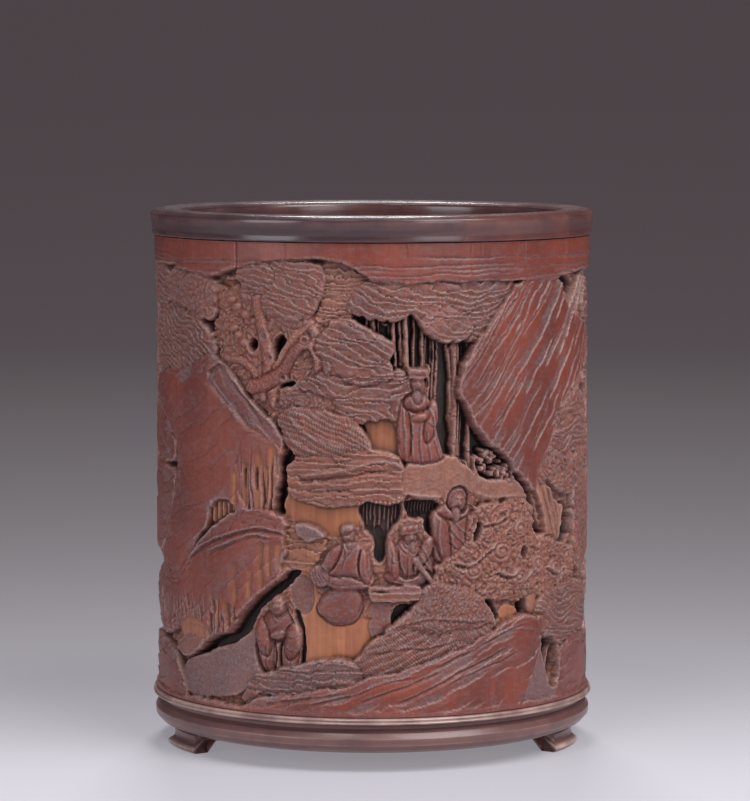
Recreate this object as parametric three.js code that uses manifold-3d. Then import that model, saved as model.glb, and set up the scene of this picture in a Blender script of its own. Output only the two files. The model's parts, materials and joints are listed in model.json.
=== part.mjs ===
// Brush holder pot: a carved bamboo tube with a hardwood rim, a footed hardwood base
// and a floor panel. Millimetres, +Z up, origin on the floor under the pot's axis.
// Angles go around the pot from its front (-Y), positive towards +X.

import * as THREE from 'three';
import { mergeVertices } from 'three/addons/utils/BufferGeometryUtils.js';
import Module from 'manifold-3d';

const wasm = await Module();
wasm.setup();

// ---- driving dimensions -------------------------------------------------------------
const GAP = 0.3;                 // glue line between neighbouring pieces

const WALL_OUTER = 70;           // polished outside of the bamboo
const WALL_INNER = 60.4;         // inside of the bamboo
const WALL_BOTTOM = 17.4;        // shoulder that rests on the base bead
const WALL_TOP = 163.05;         // shoulder under the rim
const TONGUE_OUTER = 66.2;       // thinned ends that enter the rim and the base
const TOP_TONGUE_INNER = 62.4;
const CARVED_FROM = 18.6;        // the relief runs between these two heights
const CARVED_TO = 154;
const GROUND = 65.4;             // common ground of the relief
const DEEP_GROUND = 62.9;        // ground behind the bamboo grove and in the caves

const RIM_CREST = 171.6;
const RIM_ARRIS = 169.8;
const RIM_OUTER = 71.4;
const RIM_INNER = 60.1;

const BEAD_OUTER = 70.9;
const BELLY_OUTER = 70.5;
const BELLY_HEIGHT = 9.8;
const BASE_UNDERSIDE = 5.7;
const BASE_INNER = 53;           // the open middle below the floor panel
const LEDGE = 11.2;              // rebate that carries the tube and the floor panel

const PANEL_THICK = 4;
const FOOT_ANGLES = { foot_left: -66, foot_right: 69, foot_back: 180 };
const FOOT_TOP = BASE_UNDERSIDE - GAP;

const ARC_STEPS = 15;            // facets along each quarter of the rim and base
const WALL_COLUMNS = 84;         // facets around the bamboo
const RELIEF_ROWS = 24;

// ---- small helpers ------------------------------------------------------------------
const rad = THREE.MathUtils.degToRad;

function onPot(angle, r, z) {
  return [r * Math.sin(rad(angle)), -r * Math.cos(rad(angle)), z];
}

// Sections are closed rings of points with the same count; they are skinned in order.
// A closed tour joins the last section to the first, an open one gets two flat caps.
function skin(sections, outline, closed) {
  const count = sections[0].length;
  const position = sections.flat(2);
  const index = [];
  const spans = closed ? sections.length : sections.length - 1;
  for (let s = 0; s < spans; s++) {
    const a = s * count;
    const b = ((s + 1) % sections.length) * count;
    for (let i = 0; i < count; i++) {
      const j = (i + 1) % count;
      index.push(a + i, b + i, b + j, a + i, b + j, a + j);
    }
  }
  if (!closed) {
    const flat = outline.map(([x, y]) => new THREE.Vector2(x, y));
    const last = (sections.length - 1) * count;
    for (const [p, q, t] of THREE.ShapeUtils.triangulateShape(flat, [])) {
      index.push(p, q, t, last + p, last + t, last + q);
    }
  }
  const geometry = new THREE.BufferGeometry();
  geometry.setAttribute('position', new THREE.Float32BufferAttribute(position, 3));
  geometry.setIndex(index);
  return facingOut(geometry);
}

function facingOut(geometry) {
  const p = geometry.getAttribute('position');
  const index = geometry.index.array;
  const [a, b, c] = [new THREE.Vector3(), new THREE.Vector3(), new THREE.Vector3()];
  let volume = 0;
  for (let i = 0; i < index.length; i += 3) {
    a.fromBufferAttribute(p, index[i]);
    b.fromBufferAttribute(p, index[i + 1]);
    c.fromBufferAttribute(p, index[i + 2]);
    volume += a.dot(b.cross(c));
  }
  if (volume < 0) {
    for (let i = 0; i < index.length; i += 3) {
      [index[i], index[i + 1]] = [index[i + 1], index[i]];
    }
  }
  geometry.computeVertexNormals();
  return geometry;
}

// A moulding of section [radius, height] bent round the pot between two angles. The
// lean turns the two ends into scarf faces that slope across the moulding's width.
function arcMoulding(section, from, to, lean) {
  const middle = (RIM_OUTER + RIM_INNER) / 2;
  const sections = [];
  for (let s = 0; s <= ARC_STEPS; s++) {
    const angle = from + (to - from) * s / ARC_STEPS;
    sections.push(section.map(([r, z]) => onPot(angle + lean * (r - middle), r, z)));
  }
  return skin(sections, section, false);
}

function toManifold(geometry) {
  const bare = geometry.clone();
  bare.deleteAttribute('normal');
  if (bare.getAttribute('uv')) bare.deleteAttribute('uv');
  const merged = mergeVertices(bare, 1e-4);
  return new wasm.Manifold(new wasm.Mesh({
    numProp: 3,
    vertProperties: new Float32Array(merged.getAttribute('position').array),
    triVerts: new Uint32Array(merged.index.array),
  }));
}

function toGeometry(solid) {
  const mesh = solid.getMesh();
  const geometry = new THREE.BufferGeometry();
  geometry.setAttribute('position', new THREE.Float32BufferAttribute(mesh.vertProperties, 3));
  geometry.setIndex(new THREE.Uint32BufferAttribute(mesh.triVerts, 1));
  geometry.computeVertexNormals();
  return geometry;
}

// ---- materials ----------------------------------------------------------------------
const wood = (color, roughness) =>
  new THREE.MeshStandardMaterial({ color, roughness, metalness: 0 });
const bamboo = () => wood(0x7c463c, 0.45);
const darkwood = () => wood(0x4a3840, 0.3);
const plainwood = () => wood(0x6a4a3c, 0.6);

// ---- the carved bamboo tube ---------------------------------------------------------
// Each mass of the relief is a rounded block: where its middle is (millimetres around
// the pot from the front, height), its half width and half height, how many degrees it
// leans, and how far its top lies below the polished skin.
const MASSES = [
  [-60, 98, 27, 30, -12, 0.2],     // tall cliff on the left
  [-54, 57, 25, 18, 32, 0.4],      // humped rock under the cliff
  [55, 122, 20, 27, -36, 0.2],     // great leaning slab on the right
  [84, 128, 10, 12, 0, 1.0],
  [-32, 149, 14, 7, 4, 0.8],       // pine needles under the top band
  [-32, 130, 16, 9, -20, 1.4],     // gnarled trunk
  [-6, 126, 14, 11, -8, 0.6],      // wind-blown pine canopy
  [-14, 106, 14, 9, -10, 1.0],     // thatched mound
  [24, 146, 25, 5, 2, 1.2],        // crown of the bamboo grove
  [-8, 91, 18, 7, 6, 0.8],         // rock ledge
  [33, 89, 24, 6, -12, 1.8],       // terrace
  [16, 110, 6, 15, 0, 0.8],        // walker in front of the grove
  [-31, 43, 8, 12, 0, 0.8],        // four friends around the table
  [-11, 62, 11, 17, 0, 0.5],
  [11, 68, 9, 11, -20, 0.7],
  [28, 76, 9, 12, 0, 0.6],
  [8, 54, 9, 4, 0, 1.4],
  [44, 66, 17, 15, -10, 0.9],      // gnarled bushes
  [22, 44, 20, 11, 14, 0.7],       // scaled mound
  [16, 27, 42, 9, 13, 0.1],        // foreground rock
  [-58, 25, 24, 6, 8, 2.2],        // path
  [67, 82, 7, 18, 24, 1.5],        // pine trunk on the right
  [80, 98, 14, 16, 0, 0.9],        // needle clusters on the right
  [80, 60, 15, 13, 0, 1.0],
  [80, 32, 18, 9, 8, 0.6],
  [112, 125, 19, 22, 20, 0.3],     // back: peaks, pines, a pavilion rock and a stream
  [116, 80, 20, 17, -24, 0.4],
  [112, 42, 20, 16, 12, 0.8],
  [148, 140, 20, 10, 0, 0.9],
  [150, 108, 16, 16, -14, 0.5],
  [152, 70, 17, 14, 10, 0.9],
  [152, 34, 22, 12, -8, 0.3],
  [188, 134, 17, 15, 24, 0.4],
  [190, 96, 16, 18, -18, 0.7],
  [190, 56, 19, 16, 10, 0.4],
  [196, 28, 22, 8, -6, 0.5],
  [-212, 120, 16, 20, -20, 0.4],
  [-180, 140, 17, 9, 6, 0.9],
  [-178, 100, 17, 19, 16, 0.5],
  [-206, 78, 13, 15, 0, 0.9],
  [-176, 52, 20, 15, -14, 0.6],
  [-150, 28, 24, 9, 6, 0.3],
  [-144, 126, 18, 18, -24, 0.4],
  [-140, 84, 17, 17, 10, 0.8],
  [-112, 142, 18, 9, -4, 0.9],
  [-108, 108, 14, 18, 14, 0.6],
  [-110, 62, 20, 17, -20, 0.3],
  [-104, 28, 20, 9, 8, 0.6],
];
const CAVES = [
  [14, 122, 20, 20, 0],
  [-36, 52, 16, 6, 32],
  [66, 74, 9, 7, -20],
  [84, 142, 8, 4, -30],
  [130, 96, 8, 22, 10],
  [170, 88, 6, 26, 0],
  [-160, 76, 7, 24, -8],
  [-124, 98, 7, 18, 10],
];
const GIRTH = 2 * Math.PI * WALL_OUTER;

function nearness(u, z, [u0, z0, halfU, halfZ, lean]) {
  const du = u - u0 - GIRTH * Math.round((u - u0) / GIRTH);
  const dz = z - z0;
  const c = Math.cos(rad(lean));
  const s = Math.sin(rad(lean));
  const a = Math.abs((du * c + dz * s) / halfU);
  const b = Math.abs((dz * c - du * s) / halfZ);
  const reach = Math.pow(Math.pow(a, 3) + Math.pow(b, 3), 1 / 3);
  return THREE.MathUtils.smoothstep(1.28 - reach, 0, 0.42);
}

function reliefRadius(angle, z) {
  const u = rad(angle) * WALL_OUTER;
  const deep = Math.max(...CAVES.map((cave) => nearness(u, z, cave)));
  const ground = THREE.MathUtils.lerp(GROUND, DEEP_GROUND, deep);
  let r = ground;
  for (const mass of MASSES) {
    const top = WALL_OUTER - mass[5];
    r = Math.max(r, THREE.MathUtils.lerp(ground, top, nearness(u, z, mass)));
  }
  return r;
}

function bambooWall() {
  const sections = [];
  for (let column = 0; column < WALL_COLUMNS; column++) {
    const angle = 360 * column / WALL_COLUMNS;
    const at = (r, z) => onPot(angle, r, z);
    const ring = [
      at(WALL_INNER, LEDGE + GAP),
      at(TONGUE_OUTER, LEDGE + GAP),
      at(TONGUE_OUTER, WALL_BOTTOM),
      at(WALL_OUTER, WALL_BOTTOM),
      at(WALL_OUTER, CARVED_FROM),
    ];
    for (let row = 1; row < RELIEF_ROWS; row++) {
      const z = THREE.MathUtils.lerp(CARVED_FROM, CARVED_TO, row / RELIEF_ROWS);
      ring.push(at(reliefRadius(angle, z), z));
    }
    ring.push(
      at(WALL_OUTER, CARVED_TO + 1),
      at(WALL_OUTER, WALL_TOP),
      at(TONGUE_OUTER, WALL_TOP),
      at(TONGUE_OUTER, WALL_TOP + 3.8),
      at(TOP_TONGUE_INNER, WALL_TOP + 3.8),
      at(TOP_TONGUE_INNER, WALL_TOP),
      at(WALL_INNER, WALL_TOP),
    );
    sections.push(ring);
  }
  return skin(sections, null, true);
}

// ---- the hardwood rim: four arcs scarfed end to end ----------------------------------
const RIM_BOTTOM = WALL_TOP + GAP;
const RIM_SECTION = [
  [TONGUE_OUTER + GAP, RIM_BOTTOM],
  [70.6, RIM_BOTTOM],
  [70.8, 164.2],
  [70.5, 164.9],
  [RIM_OUTER, RIM_ARRIS],
  [70.4, 170.9],
  [68.2, 171.5],
  [65.5, RIM_CREST],
  [62.4, 171.2],
  [60.7, 170.6],
  [RIM_INNER, 169.8],
  [RIM_INNER, RIM_BOTTOM],
  [TOP_TONGUE_INNER - GAP, RIM_BOTTOM],
  [TOP_TONGUE_INNER - GAP, RIM_BOTTOM + 3.9],
  [TONGUE_OUTER + GAP, RIM_BOTTOM + 3.9],
];
const RIM_JOINTS = { rim_front_left: -68, rim_front_right: 22, rim_back_right: 112,
  rim_back_left: 202 };

// ---- the hardwood base: four arcs with a bead, a cove and a belly --------------------
const BASE_SECTION = [
  [BASE_INNER, BASE_UNDERSIDE],
  [64, BASE_UNDERSIDE],
  [67.4, 6.3],
  [69.6, 7.8],
  [BELLY_OUTER, BELLY_HEIGHT],
  [69.8, 11.7],
  [68.4, 13.1],
  [68.1, 14.2],
  [68.9, 15.1],
  [BEAD_OUTER, 15.5],
  [BEAD_OUTER, 16.2],
  [70.3, WALL_BOTTOM - GAP],
  [TONGUE_OUTER + GAP, WALL_BOTTOM - GAP],
  [TONGUE_OUTER + GAP, LEDGE],
  [BASE_INNER, LEDGE],
];
const BASE_JOINTS = { base_front_left: -73, base_front_right: 17, base_back_right: 107,
  base_back_left: 197 };

function floorPanel() {
  const r = WALL_INNER - GAP;
  const z0 = LEDGE + GAP;
  const z1 = z0 + PANEL_THICK;
  const profile = [[0, z0], [r - 1, z0], [r, z0 + 1], [r, z1 - 0.6], [r - 0.6, z1], [0, z1]];
  const points = profile.map(([x, y]) => new THREE.Vector2(x, y));
  const lathe = new THREE.LatheGeometry(points, 60);
  lathe.rotateX(Math.PI / 2);
  return toGeometry(toManifold(facingOut(lathe)));
}

// ---- the feet: flared toes with a short wing on each side ----------------------------
// Each level of the toe is [height, inner radius, outer radius, half angle].
const TOE_LEVELS = [
  [0, 57.5, 66.2, 8.6],
  [0.7, 57.2, 67.3, 9.3],
  [1.6, 57, 67.6, 9.6],
  [2.3, 56.6, 66.6, 9.2],
  [3, 56.2, 64.6, 8.2],
  [4.2, 55.8, 63.4, 7.7],
  [FOOT_TOP, 55.5, 63.6, 8.2],
];
const WING_LEVELS = [
  [2.9, 57.6, 60.4, 10.5],
  [3.5, 57.2, 61.2, 15],
  [4.5, 56.8, 61.6, 17.5],
  [FOOT_TOP, 56.6, 61.6, 18],
];

function footLevels(levels, centre, steps) {
  const sections = levels.map(([z, inner, outer, half]) => {
    const ring = [];
    for (let i = 0; i <= steps; i++) {
      ring.push(onPot(centre - half + 2 * half * i / steps, outer, z));
    }
    for (let i = steps; i >= 0; i--) {
      ring.push(onPot(centre - half + 2 * half * i / steps, inner, z));
    }
    return ring;
  });
  const outline = sections[0].map(([x, y]) => [x, y]);
  return skin(sections, outline, false);
}

function foot(centre) {
  const toe = toManifold(footLevels(TOE_LEVELS, centre, 4));
  const wing = toManifold(footLevels(WING_LEVELS, centre, 6));
  return toGeometry(toe.add(wing));
}

// ---- the pot ------------------------------------------------------------------------
const pot = new THREE.Group();

function add(name, geometry, material) {
  const mesh = new THREE.Mesh(geometry, material);
  mesh.name = name;
  pot.add(mesh);
}

const SLIT = GAP / rad(BASE_INNER);   // the glue line as an angle, in degrees
const QUARTER = 90 - SLIT;

add('bamboo_wall', bambooWall(), bamboo());
for (const [name, from] of Object.entries(RIM_JOINTS)) {
  add(name, arcMoulding(RIM_SECTION, from, from + QUARTER, 0.35), darkwood());
}
for (const [name, from] of Object.entries(BASE_JOINTS)) {
  add(name, arcMoulding(BASE_SECTION, from, from + QUARTER, -0.35), darkwood());
}
add('floor_panel', floorPanel(), plainwood());
for (const [name, angle] of Object.entries(FOOT_ANGLES)) {
  add(name, foot(angle), darkwood());
}

export default pot;
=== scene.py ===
# %% [markdown]
# # A carved bamboo brush pot
# This lesson builds a desk pot for writing brushes: a bamboo tube carved in relief with
# scholars among rocks, pines and bamboo, a domed hardwood rim, and a moulded hardwood
# base on low feet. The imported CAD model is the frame: it says where each piece is and
# how big. The lesson makes the fine surfaces and the finishes around it.

# %% Load the frame
import json
import math

import bpy
import numpy as np
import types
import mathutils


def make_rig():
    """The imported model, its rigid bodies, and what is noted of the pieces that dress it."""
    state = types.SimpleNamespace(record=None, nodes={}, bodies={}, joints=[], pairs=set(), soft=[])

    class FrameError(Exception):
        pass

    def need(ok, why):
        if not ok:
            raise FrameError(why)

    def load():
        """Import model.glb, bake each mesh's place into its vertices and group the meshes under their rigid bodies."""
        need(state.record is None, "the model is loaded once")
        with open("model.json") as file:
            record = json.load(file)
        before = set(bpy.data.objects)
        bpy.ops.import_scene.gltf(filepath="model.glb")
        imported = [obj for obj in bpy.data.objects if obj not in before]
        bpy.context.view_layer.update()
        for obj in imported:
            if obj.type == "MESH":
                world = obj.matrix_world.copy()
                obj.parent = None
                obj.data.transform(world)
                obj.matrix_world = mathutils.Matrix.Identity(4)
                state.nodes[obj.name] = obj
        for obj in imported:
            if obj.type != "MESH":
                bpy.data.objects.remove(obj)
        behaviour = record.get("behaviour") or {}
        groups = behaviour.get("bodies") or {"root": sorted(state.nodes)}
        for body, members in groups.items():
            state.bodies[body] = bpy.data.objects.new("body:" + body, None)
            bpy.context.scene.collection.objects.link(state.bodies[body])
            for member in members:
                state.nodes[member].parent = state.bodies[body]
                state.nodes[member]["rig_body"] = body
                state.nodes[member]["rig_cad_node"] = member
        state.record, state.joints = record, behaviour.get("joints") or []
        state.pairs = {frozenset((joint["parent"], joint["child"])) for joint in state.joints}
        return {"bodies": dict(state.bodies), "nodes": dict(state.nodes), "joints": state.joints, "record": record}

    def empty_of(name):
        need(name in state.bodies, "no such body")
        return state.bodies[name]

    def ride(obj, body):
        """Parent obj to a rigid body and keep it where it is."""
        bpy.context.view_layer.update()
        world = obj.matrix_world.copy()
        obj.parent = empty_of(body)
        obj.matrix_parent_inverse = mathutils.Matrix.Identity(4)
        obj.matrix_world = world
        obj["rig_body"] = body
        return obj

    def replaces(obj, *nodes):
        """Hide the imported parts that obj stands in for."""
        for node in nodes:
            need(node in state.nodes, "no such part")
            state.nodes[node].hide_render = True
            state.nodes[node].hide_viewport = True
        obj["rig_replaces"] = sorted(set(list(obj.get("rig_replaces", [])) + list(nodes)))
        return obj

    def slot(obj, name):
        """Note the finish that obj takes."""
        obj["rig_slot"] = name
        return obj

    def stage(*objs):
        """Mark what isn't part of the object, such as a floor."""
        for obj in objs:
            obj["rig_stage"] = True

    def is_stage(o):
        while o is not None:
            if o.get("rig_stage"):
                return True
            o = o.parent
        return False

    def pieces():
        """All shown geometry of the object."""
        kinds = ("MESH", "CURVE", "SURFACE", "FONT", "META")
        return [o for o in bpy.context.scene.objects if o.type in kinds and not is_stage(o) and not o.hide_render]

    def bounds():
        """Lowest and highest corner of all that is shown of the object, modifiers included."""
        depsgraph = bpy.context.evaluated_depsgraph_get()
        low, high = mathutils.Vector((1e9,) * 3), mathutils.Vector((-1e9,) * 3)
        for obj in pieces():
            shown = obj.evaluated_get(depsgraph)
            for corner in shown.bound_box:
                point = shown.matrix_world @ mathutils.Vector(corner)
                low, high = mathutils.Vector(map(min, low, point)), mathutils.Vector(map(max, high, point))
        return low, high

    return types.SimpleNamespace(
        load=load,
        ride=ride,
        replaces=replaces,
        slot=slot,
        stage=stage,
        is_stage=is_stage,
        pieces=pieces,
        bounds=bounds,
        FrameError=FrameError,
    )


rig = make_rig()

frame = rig.load()
CAD_BOX = [list(map(float, corner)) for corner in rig.bounds()]
MM = 0.001
print("CAD box", CAD_BOX)
print("nodes", sorted(frame["nodes"]))

# %% [markdown]
# **The sheet the carver works on.** The outside of the bamboo is one long sheet bent round
# the pot: it runs once round the girth, and from the base to the rim. Relief carving on
# it could be sculpted by hand or built from hundreds of separate parts. Here it is a
# height field: one number per point, the radius in millimetres. That suits a relief,
# because a carver also works straight down into the wood and never behind it.

# %% The sheet and its samples
SKIN = 70.0                       # radius of the culm's own polished surface, mm
FLOOR_OF_CUTS = 62.4              # deepest cut, mm: the wall stays 2 mm thick there
GIRTH = 2 * np.pi * SKIN
SHEET_LOW, SHEET_HIGH = 17.7, 163.05
PANELS = 8                        # the sheet is meshed in eight upright panels
PANEL_COLUMNS = 200
COLUMNS = PANELS * PANEL_COLUMNS
ROWS = 462
AROUND = (np.arange(COLUMNS) / COLUMNS - 0.5) * GIRTH      # 0 is the front
UP = np.linspace(SHEET_LOW, SHEET_HIGH, ROWS)
STEP_U, STEP_Z = GIRTH / COLUMNS, UP[1] - UP[0]
print(f"sheet {GIRTH:.0f} x {SHEET_HIGH - SHEET_LOW:.0f} mm, one point every {STEP_U:.2f} mm")


def ease(x):
    """Goes smoothly from 0 to 1 while x does: 3 x squared minus 2 x cubed."""
    x = np.clip(x, 0, 1)
    return x * x * (3 - 2 * x)


def waver(size_u, size_z, seed):
    """Soft noise in -1..1: random numbers on a coarse grid that closes round the pot,
    blended between the four nearest ones with the ease curve."""
    rng = np.random.default_rng(seed)
    nu = max(3, round(GIRTH / size_u))
    nz = max(2, round((SHEET_HIGH - SHEET_LOW) / size_z))
    table = rng.uniform(-1, 1, (nz + 2, nu))
    x = np.arange(COLUMNS) / COLUMNS * nu
    y = np.linspace(0, nz, ROWS)
    i, j = x.astype(int), y.astype(int)
    fx, fy = ease(x - i)[None, :], ease(y - j)[:, None]
    a, b = table[j][:, i % nu], table[j][:, (i + 1) % nu]
    c, d = table[j + 1][:, i % nu], table[j + 1][:, (i + 1) % nu]
    return (a * (1 - fx) + b * fx) * (1 - fy) + (c * (1 - fx) + d * fx) * fy


WAVER = {
    "broad": waver(16, 14, 1),
    "turned": waver(5.5, 5, 8),
    "middle": waver(5, 4.5, 2),
    "small": waver(1.9, 1.7, 3),
    "fine": waver(0.8, 0.75, 4),
    "long": waver(11, 1.6, 5),
    "tall": waver(1.5, 12, 6),
    "fibre": waver(0.55, 24, 7),
}


def cells(x, y):
    """One lump in every unit square, each a little off its centre: the distances to the
    nearest and to the second nearest of these centres."""
    i, j = np.floor(x), np.floor(y)
    near, next_ = np.full(x.shape, 9.0), np.full(x.shape, 9.0)
    for a, b in [(a, b) for a in (-1, 0, 1) for b in (-1, 0, 1)]:
        px, py = np.sin((i + a) * 12.9 + (j + b) * 78.2), np.sin((i + a) * 39.3 + (j + b) * 11.1)
        px, py = 4375.85 * px % 1, 2375.17 * py % 1
        d = np.hypot(x - i - a - 0.15 - 0.7 * px, y - j - b - 0.15 - 0.7 * py)
        next_ = np.minimum(next_, np.maximum(near, d))
        near = np.minimum(near, d)
    return near, next_


def lumps(x, y):
    """Rounded lumps, 1 at their tops and 0 in the gaps between them."""
    near, next_ = cells(x, y)
    return np.sqrt(np.clip(1.4 * (next_ - near), 0, 1))


fold_u, fold_z = np.meshgrid(AROUND + 0.8, UP + 1.0)
ground_lumps = lumps(fold_u / 2.6 + 0.9 * WAVER["middle"], fold_z / 1.7 + 0.7 * WAVER["small"])
radius = 66.6 + 0.8 * WAVER["broad"] + 0.7 * WAVER["middle"] + 0.8 * ground_lumps
polish = np.zeros((ROWS, COLUMNS))      # 1 where the culm's own skin is left
tan = np.full((ROWS, COLUMNS), 0.5)    # 1 where the cut wood is orange-tan
dust_and_highlight = np.full((ROWS, COLUMNS), 0.15)   # 1 where greyed wood and old wax lie, and where painted highlights are laid pale on crests and raised lines


# %% [markdown]
# **Cutting to a line.** A carver draws an outline, sinks the ground around it, and then
# works inside it. So every form below is the same three steps: take the part of the
# sheet around the form, measure how far each point is inside the outline, and blend the
# form's own surface in with a steep edge.

# %% Outlines and edges
EDGE = 0.4                        # width of a cut edge, mm
SOFT_EDGE = 0.4                   # how far in from the outline a form is rounded off, mm
SINK_REACH = 0.9                  # how far out the ground is cut away round a form, mm


class Patch:
    """The part of the sheet around a form; it may cross the seam at the back."""

    def __init__(self, points, margin=3.0):
        p = np.array(points, float)
        u0, z0 = p[:, 0].min() - margin, p[:, 1].min() - margin
        u1, z1 = p[:, 0].max() + margin, p[:, 1].max() + margin
        first, last = int((u0 + GIRTH / 2) // STEP_U), int((u1 + GIRTH / 2) // STEP_U) + 1
        self.columns = np.arange(first, last + 1) % COLUMNS
        low = max(0, int((z0 - SHEET_LOW) / STEP_Z))
        high = min(ROWS, int((z1 - SHEET_LOW) / STEP_Z) + 2)
        self.rows = np.arange(low, min(ROWS, max(high, low + 2)))
        self.u, self.z = np.meshgrid(np.arange(first, last + 1) * STEP_U - GIRTH / 2,
                                     UP[self.rows])
        self.at = np.ix_(self.rows, self.columns)
        # A hand-held knife wanders a little: every line is bent by the same soft noise.
        self.u = self.u + 0.4 * self.noise("middle") + 0.16 * self.noise("small")
        self.z = self.z - 0.4 * self.noise("turned") + 0.14 * self.noise("fine")

    def noise(self, name):
        return WAVER[name][self.at]

    def sink(self, d, deep):
        """Cuts the ground away just outside a form's outline, more in some places."""
        cut = deep * np.exp(np.minimum(d, 0) / SINK_REACH) * (d < 0)
        cut = cut * ease(0.55 + 0.9 * self.noise("broad") + 0.6 * self.noise("middle"))
        radius[self.at] = np.maximum(radius[self.at] - cut, FLOOR_OF_CUTS)

    def lay(self, form, cover, skin=None, tint=None, grey=None):
        """Blends a form into the sheet where its cover is 1."""
        for sheet, value in ((radius, form), (polish, skin), (tan, tint), (dust_and_highlight, grey)):
            if value is not None:
                sheet[self.at] = sheet[self.at] * (1 - cover) + value * cover


def rounded(points, times=2, closed=True):
    """Cuts every corner of a line at a quarter and three quarters of its sides."""
    p = np.array(points, float)
    for _ in range(times):
        q = np.roll(p, -1, 0)
        cut = np.stack([0.75 * p + 0.25 * q, 0.25 * p + 0.75 * q], 1)
        p = cut.reshape(-1, p.shape[1]) if closed else np.vstack(
            [p[:1], cut[:-1].reshape(-1, p.shape[1]), p[-1:]])
    return p


def inside(points, u, z):
    """Distance to a closed outline in mm, positive inside it."""
    p = np.array(points, float)
    best, odd = np.full(u.shape, 1e9), np.zeros(u.shape, bool)
    for (au, az), (bu, bz) in zip(p, np.roll(p, -1, 0)):
        eu, ez = bu - au, bz - az
        t = np.clip(((u - au) * eu + (z - az) * ez) / (eu * eu + ez * ez + 1e-9), 0, 1)
        best = np.minimum(best, (u - au - t * eu) ** 2 + (z - az - t * ez) ** 2)
        odd ^= ((az > z) != (bz > z)) & (u < (z - az) * eu / (ez if ez else 1e-9) + au)
    return np.where(odd, 1, -1) * np.sqrt(best)


def along(points, u, z):
    """For each sample, the distance to an open line and how far along it that is (0..1)."""
    p = np.array(points, float)[:, :2]
    lengths = np.hypot(*np.diff(p, axis=0).T)
    total, start = lengths.sum(), 0.0
    best, where = np.full(u.shape, 1e9), np.zeros(u.shape)
    for (au, az), (bu, bz), length in zip(p[:-1], p[1:], lengths):
        eu, ez = bu - au, bz - az
        t = np.clip(((u - au) * eu + (z - az) * ez) / (length ** 2 + 1e-9), 0, 1)
        d = np.hypot(u - au - t * eu, z - az - t * ez)
        where = np.where(d < best, (start + t * length) / total, where)
        best = np.minimum(d, best)
        start += length
    return best, where


def ridge(x):
    """A row of sharp-edged lines: 1 at whole numbers, 0 half way between."""
    return np.abs(2 * (x - np.floor(x)) - 1) ** 1.6


def terraces(x):
    """Overlapping steps: rises from 0 to 1 in each unit, then drops back at once."""
    return x - np.floor(x)


def outlined(points, times):
    """The patch round a smoothed outline, the outline, and the distance inside it."""
    line = rounded(points, times)
    w = Patch(line)
    return w, line, inside(line, w.u, w.z)


def tilted(w, line, top, slope):
    """A plane with the given height at the outline's middle and the given rise per mm."""
    cu, cz = np.mean(line, 0)
    return top + slope[0] * (w.u - cu) + slope[1] * (w.z - cz)


def unit(degrees):
    """Cosine and sine of an angle in degrees."""
    return np.cos(np.radians(degrees)), np.sin(np.radians(degrees))


# %% [markdown]
# **Rocks.** The big rocks keep the culm's own skin, flat and polished, and are shown by
# their outline, by lines that follow it like terraces, and by streaks cut across them.

# %% Rocks, ledges and plain shapes
def rock(points, top, slope=(0, 0), streak=None, amount=1.0, lines=1.0, seed=0.0, skin=0.9,
         tint=0.12, grey=0.1, soft=0.35, gouges=0.0, pitch=4.4):
    """A slab: its top plane, minus a slightly rounded edge, minus fine lines at set
    distances inside the outline, minus long overlapping facets along one direction,
    minus upright gouges near its foot."""
    w, line, d = outlined(points, 1)
    d = d + 0.35 * w.noise("small") + 0.35 * w.noise("middle") + 0.5
    w.sink(d, 0.9)
    cover = ease(d / EDGE + 0.5)
    r = tilted(w, line, top, slope) - soft * np.exp(-np.maximum(d, 0) / SOFT_EDGE)
    bent = d + 0.9 * w.noise("middle") + 0.35 * w.noise("small")
    marks = np.zeros(w.u.shape)
    for k, at in enumerate((1.3, 2.4, 4.1)):              # mm in from the outline
        broken = ease(1.5 * w.noise("middle" if k % 2 else "small") + 0.5 - 0.2 * k)
        marks += lines * np.exp(-((bent - at) / 0.24) ** 2) * broken
    r = r - 0.4 * marks
    pale = 0.0
    if streak is not None:                                # facets, one over the next
        c, s = unit(streak)
        x = w.u * c + w.z * s
        y = -w.u * s + w.z * c + w.noise("middle") + 0.3 * w.noise("small")
        y = y / pitch + 0.5 * w.noise("broad") + seed
        row, up = np.floor(y), terraces(y)
        on = ease(0.7 + 1.2 * np.sin(x / (9 + 3 * np.sin(5 * row)) + 2.1 * row)
                  + 0.9 * np.exp(-np.maximum(d, 0) / 3))
        r = r - amount * 0.45 * on * (1 - up) ** 0.8
        # pale paints the top of each facet's step lighter, with less polish and more grey: a painted highlight.
        pale = amount * on * np.exp(-(1 - up) * pitch / 0.3)
        marks = marks + 0.8 * amount * on * np.exp(-up * pitch / 0.8)
        pale = pale * (0.6 + 0.6 * np.sin(1.7 * row + seed))
        dry = on * ease(2 * np.sin(2.9 * row + seed) - 0.6) * ease(1.6 * w.noise("middle") + 0.8)
        skin, grey, r = skin * (1 - 0.7 * dry), grey + 0.55 * dry, r - 0.16 * dry
        hair = ridge(y * 3.3 + 0.3 * w.noise("small")) ** 8 * ease(1.5 * w.noise("long") + 0.2)
        r = r - 0.14 * amount * hair
    if gouges:                                            # upright flutes from below
        flute = ease(ridge(w.u / 2.3 + 0.7 * w.noise("tall") + seed) * 1.8 - 0.75)
        low = ease((line[:, 1].min() + gouges - w.z + 4 * w.noise("broad")
                    + 3 * w.noise("tall")) / (0.5 * gouges))
        r = r - 1.7 * flute * low
        marks = marks + 1.2 * flute * low
        tint = tint + 0.75 * flute * low
    r = np.minimum(r, SKIN) + 0.025 * w.noise("fine")
    marks = np.clip(marks, 0, 1)
    w.lay(r, cover, skin * (1 - 0.7 * marks) * (1 - 0.3 * pale), tint,
          np.clip(grey + 0.4 * marks + 0.4 * pale, 0, 1))


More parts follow.
